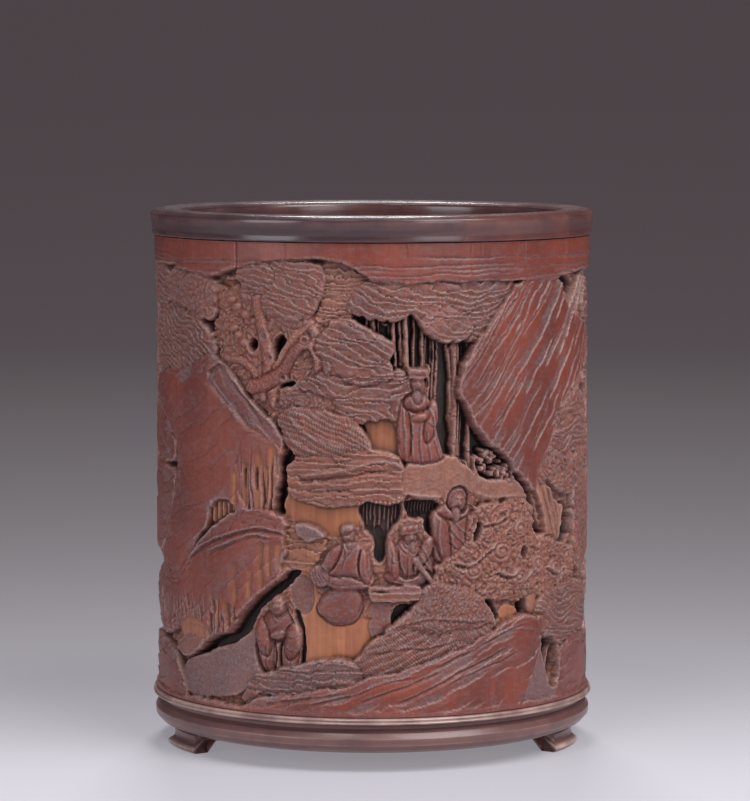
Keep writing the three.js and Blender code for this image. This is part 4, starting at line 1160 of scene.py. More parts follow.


# %% [markdown]
# ** Painted wear, highlight and shade, measured from the shape.** High edges are painted
# pale, partly as wear from hands and partly as a painted highlight; cuts, hollows and the
# deepest places are painted dark, as painted shade. Comparing each point with the average
# height around it finds both: higher than its surroundings is an edge, lower is a hollow.

# %% Blur, edges and hollows
def blur(field, reach):
    """Average over a square of the given half width, closed round the pot, done twice."""
    n = max(1, int(round(reach / STEP_U)))
    for _ in range(2):
        wide = np.concatenate([field[:, -n:], field, field[:, :n]], 1).cumsum(1)
        wide = np.concatenate([np.zeros((ROWS, 1)), wide], 1)
        field = (wide[:, 2 * n + 1:] - wide[:, :-2 * n - 1]) / (2 * n + 1)
        tall = np.pad(field, ((n, n), (0, 0)), "edge").cumsum(0)
        tall = np.concatenate([np.zeros((1, COLUMNS)), tall], 0)
        field = (tall[2 * n + 1:] - tall[:-2 * n - 1]) / (2 * n + 1)
    return field


# Between the forms the carver leaves fine flowing strokes in the cut wood.
flow = 2.6 * WAVER["middle"] + 1.8 * WAVER["turned"] + 1.2 * WAVER["long"]
strokes = ridge(flow) ** 3 + 0.7 * ridge(2.1 * flow + WAVER["small"]) ** 4
strokes = strokes * (1 - polish) * (1 - ease((np.maximum(tan, dust_and_highlight) - 0.75) / 0.15))
radius = radius - 0.26 * strokes * (radius > 64.5)
radius = radius - 0.05 * np.abs(WAVER["fibre"]) * (1 - 0.6 * polish)
radius[-1] = SKIN
near, wide_around = blur(radius, 0.5), blur(radius, 2.4)
# Masks for the finish: an edge is painted pale, partly wear and partly a painted highlight; cuts, hollows and deep
# places are painted dark as painted shade.
edges = np.clip((radius - near - 0.08) / 0.35, 0, 1)
cuts = np.clip((near - radius - 0.06) / 0.4, 0, 1)
hollows = np.clip((wide_around - radius - 0.45) / 2.2, 0, 1)
depth = np.clip((SKIN - radius) / 7.5, 0, 1)
radius = 0.75 * radius + 0.25 * blur(radius, 0.01)
print(f"relief from {radius.min():.1f} to {radius.max():.1f} mm, "
      f"{100 * (polish > 0.6).mean():.0f} % of it polished skin")

# %% [markdown]
# **From numbers to solid panels.** A mesh needs closed walls, so each panel of the tube is
# a ring of points carried round the pot: up the carved outside, over the tongue at the
# top, down the plain inside, and back under the tongue at the bottom. Eight panels keep
# each mesh a size that is easy to handle. Their ends are flat and lie on each other.

# %% A grid of points becomes a mesh
def put_mesh(name, points, faces, node, slot, uvs=None, normals=None, attributes=None):
    """Makes a piece from an array of points in mm and a list of face arrays (quads,
    triangles or one large cap each). UVs are given per corner, in the faces' order."""
    mesh = bpy.data.meshes.new(name)
    sizes = np.concatenate([np.full(len(f), f.shape[1]) for f in faces])
    corners = np.concatenate([f.ravel() for f in faces])
    mesh.vertices.add(len(points))
    mesh.vertices.foreach_set("co", (points * MM).astype(np.float32).ravel())
    mesh.loops.add(len(corners))
    mesh.loops.foreach_set("vertex_index", corners.astype(np.int32))
    mesh.polygons.add(len(sizes))
    starts = np.concatenate([[0], np.cumsum(sizes)[:-1]])
    mesh.polygons.foreach_set("loop_start", starts.astype(np.int32))
    mesh.polygons.foreach_set("loop_total", sizes.astype(np.int32))
    mesh.update(calc_edges=True)
    mesh.polygons.foreach_set("use_smooth", sizes <= 4)      # the end caps stay flat
    if uvs is not None:
        layer = mesh.uv_layers.new(name="OFBake")
        layer.data.foreach_set("uv", uvs.astype(np.float32).ravel())
    for key, values in (attributes or {}).items():
        layer = mesh.attributes.new(key, "FLOAT", "POINT")
        layer.data.foreach_set("value", values.astype(np.float32).ravel())
    if normals is not None:
        mesh.normals_split_custom_set_from_vertices(normals.astype(np.float32))
    mesh.validate()
    piece = bpy.data.objects.new(name, mesh)
    bpy.context.scene.collection.objects.link(piece)
    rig.ride(piece, "root")
    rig.replaces(piece, node)
    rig.slot(piece, slot)
    return piece


def tube_faces(ring, count):
    """Quads between rings of points (ring i, point j is number i * ring + j), and a flat
    cap on each end. Also gives each quad's own i and j."""
    i, j = (n.ravel() for n in np.meshgrid(np.arange(count - 1), np.arange(ring), indexing="ij"))
    k = (j + 1) % ring
    quads = np.stack([i * ring + j, (i + 1) * ring + j, (i + 1) * ring + k, i * ring + k], -1)
    caps = [np.arange(ring)[None, ::-1], (np.arange(ring) + (count - 1) * ring)[None]]
    return [quads] + caps, i, j


def quad_uvs(u0, u1, v0, v1):
    """The four corners of each quad on the unrolled map."""
    return np.stack([u0, v0, u1, v0, u1, v1, u0, v1], -1).reshape(-1, 2)


def on_pot(angle, r, z):
    """Angle (radians from the front, towards +X), radius and height to x, y, z."""
    return np.stack(np.broadcast_arrays(r * np.sin(angle), -r * np.cos(angle), z), -1)


# %% The tube's panels
WALL_INNER, TONGUE, TONGUE_IN = 60.4, 66.2, 62.4     # radii, mm
TUBE_LOW, TUBE_HIGH = 11.5, 166.85
BASE_JOINT, RIM_JOINT = 17.4, 163.07                  # where the base and rim close over it
INSIDE_ROWS = np.linspace(SHEET_HIGH, TUBE_LOW + 0.2, 26)
spin = AROUND / SKIN
slope_u = (np.roll(radius, -1, 1) - np.roll(radius, 1, 1)) / (2 * STEP_U)
slope_z = np.gradient(radius, STEP_Z, axis=0)
hand_wobble = 0.12 * np.sin(5 * spin + 0.4) + 0.08 * np.sin(9 * spin + 1.3)
panels = []
BELOW = [(TONGUE, TUBE_LOW), (TONGUE, BASE_JOINT), (SKIN - 0.25, BASE_JOINT)]
ABOVE = [(SKIN - 0.3, RIM_JOINT), (TONGUE, RIM_JOINT), (TONGUE, TUBE_HIGH),
         (TONGUE_IN, TUBE_HIGH), (TONGUE_IN, SHEET_HIGH)]
profile_z = [z for _, z in BELOW] + list(UP) + [z for _, z in ABOVE] + list(INSIDE_ROWS)
ring = len(profile_z)
first, last = len(BELOW), len(BELOW) + ROWS
for p in range(PANELS):
    columns = np.arange(p * PANEL_COLUMNS, (p + 1) * PANEL_COLUMNS + 1) % COLUMNS
    n, a = len(columns), spin[columns]
    profile_r = [np.full(n, r) for r, _ in BELOW] + list(radius[:, columns]) \
        + [np.full(n, r) for r, _ in ABOVE] \
        + [WALL_INNER + 0.35 * hand_wobble[columns] * math.sin(z / 23) for z in INSIDE_ROWS]
    r, z = np.array(profile_r).T, np.tile(profile_z, (n, 1))
    points = on_pot(a[:, None], r, z)
    normal = np.zeros_like(points)
    out = on_pot(a, 1.0, 0.0)
    side = np.stack([np.cos(a), np.sin(a), 0 * a], -1)
    nu, nz = slope_u[:, columns].T[..., None], slope_z[:, columns].T[..., None]
    normal[:, first:last] = out[:, None] - nu * side[:, None] - nz * np.array([0, 0, 1.0])
    normal[:, last:] = -out[:, None]
    normal[:, :first] = (0, 0, -1)
    normal[:, last:last + 3] = (0, 0, 1)
    normal /= np.linalg.norm(normal, axis=-1, keepdims=True)
    faces, i, j = tube_faces(ring, n)
    # The unrolled map: across the panel in u, round the closed profile in v.
    travel = np.concatenate([[0], np.cumsum(np.hypot(np.diff(r[0]) * 0.2, np.diff(z[0])))])
    travel = travel / (travel[-1] + 2)
    gu = np.linspace(0.02, 0.94, n)
    ends_v = np.append(travel, 0.999)
    uv = quad_uvs(gu[i], gu[i + 1], ends_v[j], ends_v[j + 1])
    cap_uv = [np.stack([0.96 + 0.012 * (r[e] - 60) / 10 + 0.02 * (e != 0),
                        0.01 + 0.97 * (z[e] - 11) / 157], -1) for e in (0, n - 1)]
    masks = {}
    for name, sheet, inner in (("polish", polish, 0.3), ("tan_wood", tan, 0.6),
                               ("dust_and_highlight", dust_and_highlight, 0.2), ("edges", edges, 0), ("cuts", cuts, 0),
                               ("hollows", hollows, 0), ("deep", depth, 0)):
        masks[name] = np.concatenate([np.zeros((n, first)), sheet[:, columns].T,
                                      np.full((n, ring - last), float(inner))], 1)
    panels.append(put_mesh(f"bamboo_panel_{p + 1}", points.reshape(-1, 3), faces, "bamboo_wall",
                           "carved_bamboo", np.concatenate([uv, cap_uv[0][::-1], cap_uv[1]]),
                           normal.reshape(-1, 3), masks))
print(len(panels), "panels of", len(panels[0].data.polygons), "faces")

# %% [markdown]
# **The hardwood mouldings.** A wide ring sawn from one board would have weak short grain
# on two sides, so the maker joins four arcs end to end with slanting scarf joints. Each
# arc here is one section carried round a quarter of the pot. The section's corners are
# rounded by cutting them again and again, as a scraper does.

# %% Mouldings
RIM_OUTER, RIM_INNER = 71.4, 60.1        # radii, mm
ARC_STEPS = 132
RIM_SECTION = [(66.5, 163.35, 0.1), (70.55, 163.3, 0.25), (70.85, 164.0, 0.4), (70.5, 164.9, 0.5),
               (71.4, 169.75, 0.5), (70.6, 170.85, 1.0), (68.3, 171.5, 2.0), (65.5, 171.62, 2.0),
               (62.6, 171.25, 2.0), (60.75, 170.6, 1.0), (60.1, 169.7, 0.6), (60.1, 163.35, 0.3),
               (62.1, 163.35, 0.1), (62.1, 167.2, 0.1), (66.5, 167.2, 0.1)]
BASE_SECTION = [(53, 5.7, 0.5), (64, 5.65, 3.0), (67.4, 6.2, 3.0), (69.7, 7.7, 3.0),
                (70.6, 9.8, 3.0), (69.9, 11.9, 3.0), (68.4, 13.2, 3.0), (68.0, 14.2, 3.0),
                (68.6, 15.05, 1.0), (70.3, 15.2, 0.12), (70.95, 15.45, 0.25), (70.95, 15.95, 0.25),
                (70.35, 16.2, 0.1), (70.75, 16.5, 0.22), (70.7, 17.0, 0.25), (69.9, 17.38, 0.2),
                (66.4, 17.38, 0.1), (66.4, 11.3, 0.1), (60, 11.2, 0.4), (53, 11.2, 0.5)]


def scraped(section):
    """Rounds each corner of a section by its own width, and adds points on long sides."""
    p = np.array(section, float)
    line = []
    for i, (r, z, width) in enumerate(p):
        for other in (p[i - 1], p[(i + 1) % len(p)]):
            side = other[:2] - (r, z)
            length = np.hypot(*side)
            reach = min(width, 0.45 * length)
            line.append((r + side[0] / length * reach, z + side[1] / length * reach))
    line = rounded(line, 2)
    dense = []
    for a, b in zip(line, np.roll(line, -1, 0)):
        n = max(1, int(np.hypot(*(b - a)) / 0.9))            # no side longer than 1.8 mm
        dense += [a + (b - a) * k / n for k in range(n)]
    return np.array(dense)


def corner_wear(line):
    """0..1: how far each point of a section sticks out of the line smoothed around it."""
    step = np.hypot(*(np.roll(line, -1, 0) - line).T)
    n = max(2, int(1.0 / step.mean()))                       # the points within 1 mm
    mean = sum(np.roll(line, k, 0) for k in range(-n, n + 1)) / (2 * n + 1)
    side = np.roll(line, -1, 0) - np.roll(line, 1, 0)
    out = np.stack([side[:, 1], -side[:, 0]], 1) / np.hypot(*side.T)[:, None]
    return np.clip(((line - mean) * out).sum(1) / 0.1, 0, 1)


def arc(node, section, start, lean, slot, tones, seed, shift, slit):
    """Carries the section through a quarter turn, less the slit at the joint; the lean
    (degrees per mm) slants its two ends, and the tone goes from the first value at one
    end through the second to the third."""
    line = scraped(section)
    # One ring beyond each end gives the end rings their true normals.
    a = start + (90 - slit) / (ARC_STEPS - 1) * np.arange(-1, ARC_STEPS + 1)
    middle = (RIM_OUTER + RIM_INNER) / 2
    angle = np.radians(a[:, None] + lean * (line[:, 0] - middle)[None, :])
    rng = np.random.default_rng(seed)
    sway = sum(rng.uniform(0.01, 0.045) * np.sin(k * angle * 4 + rng.uniform(0, 6))
               for k in (1, 2, 3, 5))
    ends = np.maximum(np.minimum(a - a[1], a[-2] - a), 0)[:, None]
    sway = sway * ease(ends / 12)
    sink = 0.012 * np.exp(-ends / 0.06) * (lean > 0)                 # the joint's edges are eased
    r = line[:, 0][None] + sway - sink * np.sign(line[:, 0] - 64)[None]
    z = line[:, 1][None] + 0.4 * sway - sink * (line[:, 1] > 168)[None]
    points = on_pot(angle, r, z)
    side = np.roll(points, -1, 1) - points
    side /= np.linalg.norm(side, axis=-1, keepdims=True)
    normals = np.cross(points[2:] - points[:-2], (side + np.roll(side, 1, 1))[1:-1])
    normals /= np.linalg.norm(normals, axis=-1, keepdims=True)
    points, a = points[1:-1], a[1:-1]
    m = len(line)
    faces, i, j = tube_faces(m, ARC_STEPS)
    travel = np.concatenate([[0], np.cumsum(np.hypot(*(np.roll(line, -1, 0) - line).T))])
    v0, v1 = travel[j] / travel[-1] * 0.98, travel[j + 1] / travel[-1] * 0.98
    u0, u1 = 0.01 + 0.9 * i / ARC_STEPS, 0.01 + 0.9 * (i + 1) / ARC_STEPS
    cap_uv = (line - line.min(0)) / 240 + (0.925, 0.02)
    # The two threads of the base's bead are rubbed more than any other corner.
    thread = 0.6 * (line[:, 0] > 70.2) * (line[:, 1] > 15.2) * (line[:, 1] < 18)
    tone = np.interp(a - start, [0, 30, 65, 90], np.array(tones)[[0, 1, 1, 2]])
    return put_mesh(node + "_moulding", points.reshape(-1, 3), faces, node, slot,
                    np.concatenate([quad_uvs(u0, u1, v0, v1), cap_uv[::-1], cap_uv + (0, 0.2)]),
                    normals.reshape(-1, 3),
                    {"worn": np.tile(np.maximum(corner_wear(line), thread), ARC_STEPS),
                     "along": np.repeat(a * 1.2, m) + shift,
                     "across": np.tile(travel[:-1], ARC_STEPS), "tone": np.repeat(tone, m)})


arcs = []
for ring_name, section, lean, shift, slit, starts in (
        ("rim", RIM_SECTION, 0.35, 100, 0.01,
         (("front_left", -68, (0.3, 0.1, 0.5)), ("front_right", 22, (0.65, 0.9, 0.7)),
          ("back_right", 112, (0.5, 0.4, 0.3)), ("back_left", 202, (0.4, 0.2, 0.3)))),
        ("base", BASE_SECTION, -0.35, 0, 0.0,
         (("front_left", -73, (0.7, 0.45, 0.5)), ("front_right", 17, (0.5, 0.6, 0.5)),
          ("back_right", 107, (0.5, 0.4, 0.6)), ("back_left", 197, (0.6, 0.5, 0.7))))):
    for place, start, tones in starts:
        arcs.append(arc(f"{ring_name}_{place}", section, start, lean, ring_name + "_hardwood",
                        tones, len(arcs) + 1, shift * len(arcs), slit))
print(len(arcs), "arcs,", len(arcs[0].data.polygons), "faces each")

# %% [markdown]
# **The feet.** Each foot is a small block with a flared toe, and a thin wing on each side
# that runs out under the base. It is made column by column: the foot's lower edge is a
# curve of the angle, and its outer face is a curve of the height.

# %% Feet
TOE, WING = 0.525, 0.53           # where the toe ends and a wing starts, from 0 to 1


def foot(node, centre):
    """Columns across the foot, each a closed loop: up the outer face, down the inner."""
    s = np.concatenate([np.linspace(-1, -WING, 26), np.linspace(-TOE, TOE, 56),
                        np.linspace(WING, 1, 26)])
    t = np.linspace(0, 1, 26)
    toe = ease(((TOE + WING) / 2 - np.abs(s)) / 0.004)            # 1 in the toe, 0 in a wing
    in_toe = toe > 0.5
    out = np.clip((np.abs(s) - WING) / (1 - WING), 0, 1)          # along the wing
    wing_edge = 3.7 + 1.9 * ease(out) ** 1.4 + 0.35 * np.sin(out * 2 * np.pi)
    low = np.where(in_toe, 0.0, np.minimum(wing_edge, 5.6))
    z = low[:, None] + (5.74 - low)[:, None] * t[None]
    levels = [0, 0.35, 0.9, 1.6, 2.15, 2.5, 3.1, 4.2, 5.2, 5.8]
    reach = np.interp(z, levels, [66.6, 67.3, 67.6, 67.5, 67.0, 66.5, 66.0, 65.7, 65.9, 66.4])
    s, in_toe = s[:, None], in_toe[:, None]
    outer = np.where(in_toe, reach, 61.5 + 0.5 * np.cos((z - 4.4) / 1.5))
    inner = np.where(in_toe, np.interp(z, [0, 1.6, 3, 5.8], [62.0, 62.2, 61.0, 58.0]), 57.2)
    spread = np.interp(z, levels, [8.9, 9.4, 9.6, 9.5, 9.0, 8.6, 8.1, 7.7, 7.9, 8.3]) / 9.5
    half = np.where(in_toe, s / TOE * 9.4 * spread,
                    np.sign(s) * (7.0 + (np.abs(s) - WING) / (1 - WING) * 11))
    angle = np.radians(centre + half)
    crown = 0.35 * (1 - (s / WING) ** 2) * toe[:, None]            # the toe's face is bowed
    both = np.concatenate([angle, angle[:, ::-1]], 1)
    loop_r = np.concatenate([outer + crown, inner[:, ::-1]], 1)
    loop_z = np.concatenate([z, z[:, ::-1]], 1)
    ends = np.minimum(t, 1 - t)                                     # round the four edges
    loop_r = loop_r + np.concatenate([-0.45 * np.exp(-ends / 0.03), 0.3 * np.exp(-ends / 0.03)])
    points = on_pot(both, loop_r, loop_z)
    n, m = points.shape[:2]
    faces, i, j = tube_faces(m, n)
    uv = quad_uvs(0.01 + 0.93 * i / n, 0.01 + 0.93 * (i + 1) / n,
                  0.01 + 0.97 * j / m, 0.01 + 0.97 * (j + 1) / m)
    cap = np.stack([0.955 + 0.01 * (loop_r[0] - 57) / 5, 0.02 + 0.08 * loop_z[0]], -1)
    lip = np.exp(-((z - 1.6) / 0.7) ** 2)
    return put_mesh(node + "_block", points.reshape(-1, 3), faces, node, "base_hardwood",
                    np.concatenate([uv, cap[::-1], cap + (0.02, 0)]), None,
                    {"worn": np.concatenate([lip, 0 * lip], 1),
                     "along": np.degrees(both) * 1.2, "across": loop_z,
                     "tone": np.full(n * m, 0.5)})


feet = [foot("foot_left", -66), foot("foot_right", 69), foot("foot_back", 180)]

# %% [markdown]
# **The floor panel** is a plain round board that closes the pot. Only someone looking
# down inside sees it, but it still has its own gentle dish and board grain.

# %% Floor panel
def turned(name, profile, node, slot, steps=144):
    """Turns a profile that starts and ends on the axis; the two poles are single points."""
    p = np.array(profile, float)
    a = np.linspace(0, 2 * np.pi, steps, endpoint=False)
    body = on_pot(a[:, None], p[None, 1:-1, 0], p[None, 1:-1, 1]).reshape(-1, 3)
    points = np.vstack([body, (0, 0, p[0, 1]), (0, 0, p[-1, 1])])
    m = len(p) - 2
    i, j = np.meshgrid(np.arange(steps), np.arange(m - 1), indexing="ij")
    k = (i + 1) % steps
    quads = np.stack([i * m + j, k * m + j, k * m + j + 1, i * m + j + 1], -1).reshape(-1, 4)
    i = np.arange(steps) * m
    k = np.roll(i, -1)
    pole = np.full(steps, steps * m)
    fans = np.concatenate([np.stack([pole, k, i], -1),
                           np.stack([pole + 1, i + m - 1, k + m - 1], -1)])
    return put_mesh(name, points, [quads, fans], node, slot)


edge_of_board = [(0, 11.5), (20, 11.5), (45, 11.5), (59, 11.5), (59.8, 11.7), (60.1, 12.3),
                 (60.1, 14.8), (59.9, 15.3), (59.4, 15.5)]
dish = [(r, 15.5 - 0.35 * (1 - (r / 59) ** 2)) for r in (57, 52, 44, 34, 24, 14, 6, 0)]
panel = turned("floor_board", edge_of_board + dish, "floor_panel", "panel_wood")
print(len(panel.data.polygons), "faces in the floor board")

# %% [markdown]
# **Writing finishes as sums.** Blender's shader nodes can be wired one by one, but a
# finish is easier to read as a formula. `Wire` wraps one output and turns + - * / into
# Math nodes; `Finish` makes any other node from its type, settings and inputs.

# %% Shader helpers
class Wire:
    """One number-valued output of a node; an expression on it adds Math nodes."""

    def __init__(self, finish, socket):
        self.finish, self.socket = finish, socket

    def math(self, operation, a, b):
        return self.finish.add("ShaderNodeMath", {"operation": operation}, [a, b])

    def __add__(self, other): return self.math("ADD", self, other)
    def __radd__(self, other): return self.math("ADD", other, self)
    def __sub__(self, other): return self.math("SUBTRACT", self, other)
    def __rsub__(self, other): return self.math("SUBTRACT", other, self)
    def __mul__(self, other): return self.math("MULTIPLY", self, other)
    def __rmul__(self, other): return self.math("MULTIPLY", other, self)
    def __truediv__(self, other): return self.math("DIVIDE", self, other)
    def __rtruediv__(self, other): return self.math("DIVIDE", other, self)
    def __pow__(self, other): return self.math("POWER", self, other)

    def step(self, low, high):
        """Rises smoothly from 0 to 1 while the value goes from low to high."""
        return self.finish.add("ShaderNodeMapRange", {"interpolation_type": "SMOOTHSTEP"},
                               {"Value": self, "From Min": low, "From Max": high})


class Finish:
    """A material with a Principled shader, and one method for every other node."""

    def __init__(self, name, **constants):
        self.material = bpy.data.materials.new(name)
        self.material.use_nodes = True
        self.tree = self.material.node_tree
        self.shader = self.tree.nodes["Principled BSDF"]
        self.wear(**constants)

    def put(self, socket, value):
        if isinstance(value, Wire):
            self.tree.links.new(value.socket, socket)
        elif isinstance(value, (tuple, list)) and socket.type == "RGBA" and len(value) == 3:
            socket.default_value = (*value, 1)
        else:
            socket.default_value = value

    def add(self, kind, settings=None, inputs=None, out=0):
        node = self.tree.nodes.new(kind)
        for key, value in (settings or {}).items():
            setattr(node, key, value)
        pairs = inputs.items() if isinstance(inputs, dict) else enumerate(inputs or [])
        for key, value in pairs:
            self.put(node.inputs[key], value)
        return Wire(self, node.outputs[out])

    def attribute(self, name):
        return self.add("ShaderNodeAttribute", {"attribute_name": name}, out="Fac")

    def mix(self, factor, a, b):
        """Colours: a where the factor is 0, b where it is 1."""
        return self.add("ShaderNodeMix", {"data_type": "RGBA", "clamp_factor": True},
                        {0: factor, 6: a, 7: b}, out=2)

    def stretched(self, x, y, z):
        """Object coordinates, counted in steps of the given sizes in metres."""
        place = self.add("ShaderNodeTexCoord", out="Object")
        return self.add("ShaderNodeVectorMath", {"operation": "MULTIPLY"},
                        [place, (1 / x, 1 / y, 1 / z)])

    def noise(self, vector, detail, rough, warp=0.0):
        return self.add("ShaderNodeTexNoise", None,
                        {"Vector": vector, "Scale": 1.0, "Detail": detail, "Roughness": rough,
                         "Distortion": warp})

    def bump(self, height, distance):
        return self.add("ShaderNodeBump", None,
                        {"Height": height, "Distance": distance, "Strength": 0.5})

    def wear(self, *pieces, **sockets):
        for key, value in sockets.items():
            title = "IOR" if key == "ior" else key.replace("_", " ").title()
            self.put(self.shader.inputs[title], value)
        for piece in pieces:
            piece.data.materials.clear()
            piece.data.materials.append(self.material)


# %% [markdown]
# ** Old bamboo.** The skin has aged to a deep red-brown and takes a polish. Where the
# knife went in, the wood is dry: orange-tan in open cuts, and mauve-grey where dust and
# wax have settled. The same mauve-grey is painted on leaf crests, facet steps and raised
# lines as a painted highlight, and the high edges are painted pale, partly wear and partly
# painted highlight. Painted shade darkens the cuts and hollows and turns the caves nearly
# black. The masks measured from the relief say where each is, and fine upright fibres run
# through all of them.

# %% The bamboo's finish
f = Finish("aged_bamboo", ior=1.5)
fibres = f.noise(f.stretched(0.00045, 0.00045, 0.02), 4, 0.6)
strands = f.noise(f.stretched(0.0016, 0.0016, 0.05), 2, 0.5)
clouds = f.noise(f.stretched(0.018, 0.018, 0.03), 3, 0.5)
specks = f.noise(f.stretched(0.0006, 0.0006, 0.0007), 3, 0.7)
skin_left, tan_left = f.attribute("polish"), f.attribute("tan_wood")
dust_and_highlit, rubbed_and_highlit = f.attribute("dust_and_highlight"), f.attribute("edges")
cut_shade, hollow_shade, depth_shade = f.attribute("cuts"), f.attribute("hollows"), f.attribute("deep")
skin_colour = f.mix(clouds.step(0.3, 0.7), (0.145, 0.026, 0.015), (0.235, 0.044, 0.023))
skin_colour = f.mix(fibres.step(0.35, 0.75) * 0.4, skin_colour, (0.085, 0.024, 0.019))
skin_colour = f.mix(strands.step(0.55, 0.8) * 0.3, skin_colour, (0.32, 0.085, 0.045))
raw_colour = f.mix(strands.step(0.3, 0.7), (0.31, 0.102, 0.046), (0.41, 0.152, 0.070))
raw_colour = f.mix(fibres.step(0.4, 0.8) * 0.4, raw_colour, (0.22, 0.075, 0.038))
cut_colour = f.mix(clouds.step(0.35, 0.65), (0.150, 0.048, 0.036), (0.215, 0.070, 0.046))
dust_and_highlight_colour = f.mix(specks.step(0.3, 0.7), (0.120, 0.082, 0.094), (0.225, 0.165, 0.172))
colour = f.mix(skin_left.step(0.1, 0.6), cut_colour, skin_colour)
colour = f.mix(tan_left.step(0.15, 0.95), colour, raw_colour)
patches = f.noise(f.stretched(0.0026, 0.0026, 0.0013), 3, 0.6, 0.3)
stains = f.noise(f.stretched(0.006, 0.006, 0.004), 3, 0.6, 0.5)
dry = (1 - skin_left) * (1 - tan_left) * (1 - 0.9 * dust_and_highlit.step(0.6, 0.9))
colour = f.mix(dry * patches.step(0.49, 0.57) * 0.75, colour, skin_colour)
colour = f.mix(dry * stains.step(0.56, 0.68) * 0.4, colour, raw_colour)
colour = f.mix((1 - 0.7 * skin_left) * (1 - tan_left) * patches.step(0.5, 0.42) * 0.6, colour,
               dust_and_highlight_colour)
# The dust mask also carries the painted highlights on leaf crests, facet steps and raised lines, so this mauve-grey is
# partly dust and partly painted highlight.
colour = f.mix(dust_and_highlit * (0.2 + 0.5 * specks.step(0.3, 0.7)), colour, dust_and_highlight_colour)
# The high edges are painted pale: partly wear and partly a painted highlight.
colour = f.mix(rubbed_and_highlit * (0.05 + 0.45 * specks.step(0.3, 0.6)), colour, (0.42, 0.28, 0.25))
# Painted shade: the cuts, the hollows and the deepest places are darkened towards near black.
shade = hollow_shade * 0.62 + cut_shade * 0.42 + depth_shade.step(0.65, 0.92) * 0.86
colour = f.mix(shade, colour, (0.026, 0.013, 0.011))
matt = 0.58 - 0.26 * skin_left - 0.14 * rubbed_and_highlit + 0.14 * specks
relief = fibres * 0.5 + specks * 0.5 + patches * (1 - skin_left) * 1.2
f.wear(*panels, base_color=colour, roughness=matt, normal=f.bump(relief, 0.00022))

# %% [markdown]
# **Dark hardwood.** The rim and base are a dense purple-brown wood with long pores that
# follow each arc. Handling has rubbed the corners of the mouldings paler and glossier.

# %% The hardwood finishes
def hardwood(name, pieces, dark, middle, red, pale, gloss, wear, coat):
    """Long pores and figure along the arc; the tone mask picks each arc's own colour."""
    f = Finish(name, ior=1.5, coat_roughness=0.12)
    along_arc, over = f.attribute("along"), f.attribute("across")
    spot = f.add("ShaderNodeCombineXYZ", None, [along_arc / 9.0, over / 0.55, 0.0])
    pores = f.noise(spot, 5, 0.65, 0.3)
    spot = f.add("ShaderNodeCombineXYZ", None, [along_arc / 26.0, over / 2.6, 3.0])
    grain = f.noise(spot, 3, 0.5, 0.6)
    smudge = f.noise(f.stretched(0.012, 0.012, 0.012), 3, 0.6)
    fine = f.noise(f.stretched(0.0007, 0.0007, 0.0007), 3, 0.6)
    tone, worn = f.attribute("tone"), f.attribute("worn")
    colour = f.mix(grain.step(0.3, 0.7), dark, middle)
    colour = f.mix(tone * (0.45 + 0.5 * smudge.step(0.3, 0.7)), colour, red)
    colour = f.mix(pores.step(0.55, 0.75) * 0.55, colour, (0.016, 0.010, 0.012))
    rub = worn * (0.35 + 0.65 * smudge.step(0.35, 0.65)) * wear
    colour = f.mix(rub, colour, pale)
    rough = gloss + 0.14 * smudge + 0.12 * pores.step(0.5, 0.8) - 0.06 * worn
    f.wear(*pieces, base_color=colour, roughness=rough, coat_weight=coat - coat * 0.6 * smudge,
           normal=f.bump(pores * 0.7 + fine * 0.3, 0.00010))


hardwood("rim_polish", arcs[:4], (0.026, 0.014, 0.019), (0.055, 0.028, 0.034),
         (0.150, 0.045, 0.034), (0.30, 0.15, 0.13), 0.16, 0.5, 0.45)
hardwood("base_wax", arcs[4:] + feet, (0.070, 0.035, 0.039), (0.125, 0.062, 0.064),
         (0.195, 0.070, 0.056), (0.60, 0.43, 0.37), 0.28, 1.0, 0.25)

f = Finish("plain_board", ior=1.5)
rings = f.noise(f.stretched(0.004, 0.06, 0.004), 4, 0.6, 0.4)
pores = f.noise(f.stretched(0.0006, 0.012, 0.0006), 3, 0.6)
colour = f.mix(rings.step(0.3, 0.7), (0.085, 0.045, 0.03), (0.16, 0.09, 0.06))
colour = f.mix(pores.step(0.5, 0.75) * 0.5, colour, (0.04, 0.024, 0.018))
f.wear(panel, base_color=colour, roughness=0.6 + 0.2 * rings, normal=f.bump(pores, 0.0001))
print("finishes:", [m.name for m in bpy.data.materials])

# %% [markdown]
# ** A small studio.** The pot stands on a pale sheet that curves up behind; its colour is
# painted darker as it goes back, a painted falloff of the light. A large soft light stands
# at the front right and above, with weaker ones round the pot, and the sheet glows a
# little, painted light that keeps the shadows on it soft.
# The camera is a long lens a little over a metre away, looking slightly down.

# %% Sweep, lights and camera
def sweep():
    """A floor that turns up into a backdrop along a quarter circle; all in metres."""
    t = np.linspace(0, np.pi / 2, 40)
    bend, bend_starts, wide, tall = 0.9, 1.6, 3.2, 4.0
    y = np.concatenate([[-3.0, -1.0, 0.0], bend_starts + bend * np.sin(t), [bend_starts + bend]])
    z = np.concatenate([[0.0, 0.0, 0.0], bend - bend * np.cos(t), [tall]])
    x = np.linspace(-wide, wide, 9)
    grid = np.stack(np.broadcast_arrays(x[:, None], y[None], z[None]), -1)
    n = len(y)
    i, j = np.meshgrid(np.arange(len(x) - 1), np.arange(n - 1), indexing="ij")
    a = i * n + j
    faces = np.stack([a, a + n, a + n + 1, a + 1], -1).reshape(-1, 4)
    mesh = bpy.data.meshes.new("studio_sweep")
    mesh.from_pydata(grid.reshape(-1, 3).tolist(), [], faces.tolist())
    mesh.polygons.foreach_set("use_smooth", np.ones(len(faces), bool))
    piece = bpy.data.objects.new("studio_sweep", mesh)
    bpy.context.scene.collection.objects.link(piece)
    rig.stage(piece)
    return piece


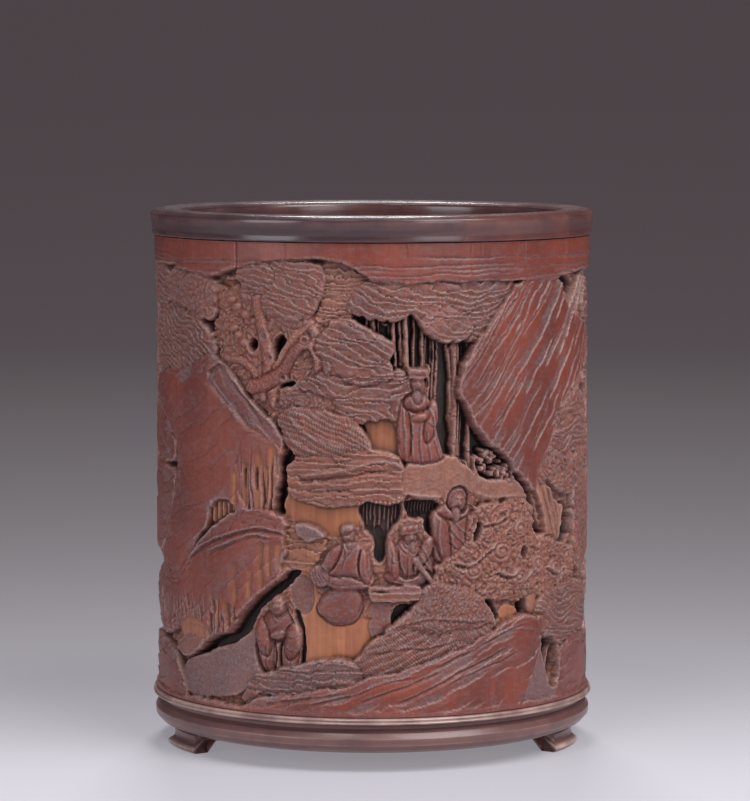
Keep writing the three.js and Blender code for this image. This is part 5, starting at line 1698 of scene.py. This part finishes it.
floor = sweep()
f = Finish("paper_painted_darker_behind", roughness=0.9)
place = f.add("ShaderNodeTexCoord", out="Object")
back = f.add("ShaderNodeSeparateXYZ", None, [place], out="Y") + 0.12
back = f.add("ShaderNodeMath", {"operation": "MAXIMUM"}, [back, 0.0])
# The sheet's colour is painted darker as it goes back and up: a painted falloff of the light.
pale = 1 / (1 + (back / 0.26) ** 1.8)
painted_far_shade = f.mix(back.step(0.9, 2.2), (0.038, 0.031, 0.033), (0.051, 0.0385, 0.0425))
paper_and_painted_falloff = f.mix(pale, painted_far_shade, (0.341, 0.329, 0.362))
# The sheet glows with its own colour: painted light that lifts and softens the shadows on it.
f.wear(floor, base_color=paper_and_painted_falloff, emission_color=paper_and_painted_falloff, emission_strength=0.8)


def soft_light(name, azimuth, elevation, distance, size, power, colour=(1, 1, 1)):
    """A square light on a sphere round the pot, turned to face it."""
    lamp = bpy.data.lights.new(name, "AREA")
    lamp.size, lamp.energy, lamp.color = size, power, colour
    piece = bpy.data.objects.new(name, lamp)
    a, e = math.radians(azimuth), math.radians(elevation)
    piece.location = (distance * math.sin(a) * math.cos(e), -distance * math.cos(a) * math.cos(e),
                      0.09 + distance * math.sin(e))
    piece.rotation_euler = (math.pi / 2 - e, 0, a)
    bpy.context.scene.collection.objects.link(piece)


# Name, degrees round from the front and up, distance and size in metres, watts.
soft_light("key", 46, 48, 1.5, 0.95, 20)
soft_light("front", 33, 8, 2.0, 0.9, 6.5)
soft_light("fill", -52, 12, 1.8, 0.9, 8, (0.97, 0.97, 1.0))
soft_light("top", -24, 58, 1.4, 0.3, 4)
soft_light("back", 181, 46, 1.6, 0.4, 13)
world = bpy.data.worlds.new("studio")
world.use_nodes = True
world.node_tree.nodes["Background"].inputs["Color"].default_value = (0.5, 0.48, 0.54, 1)
world.node_tree.nodes["Background"].inputs["Strength"].default_value = 0.3
bpy.context.scene.world = world
bpy.context.scene.view_settings.view_transform = "Standard"

LENS, SENSOR = 165.05, 36.0                     # mm
LOOKS_DOWN, TURNED = 5.169, -0.047              # degrees
camera = bpy.data.cameras.new("camera")
camera.lens, camera.sensor_width = LENS, SENSOR
view = bpy.data.objects.new("camera", camera)
view.location = (0.0, -1.18292, 0.21603)
view.rotation_euler = (math.radians(90 - LOOKS_DOWN), 0, math.radians(TURNED))
bpy.context.scene.collection.objects.link(view)
bpy.context.scene.camera = view

with open("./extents.json", "w") as file:
    json.dump({"cad": CAD_BOX, "visual": [list(map(float, corner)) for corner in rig.bounds()]}, file)
print(open("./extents.json").read())
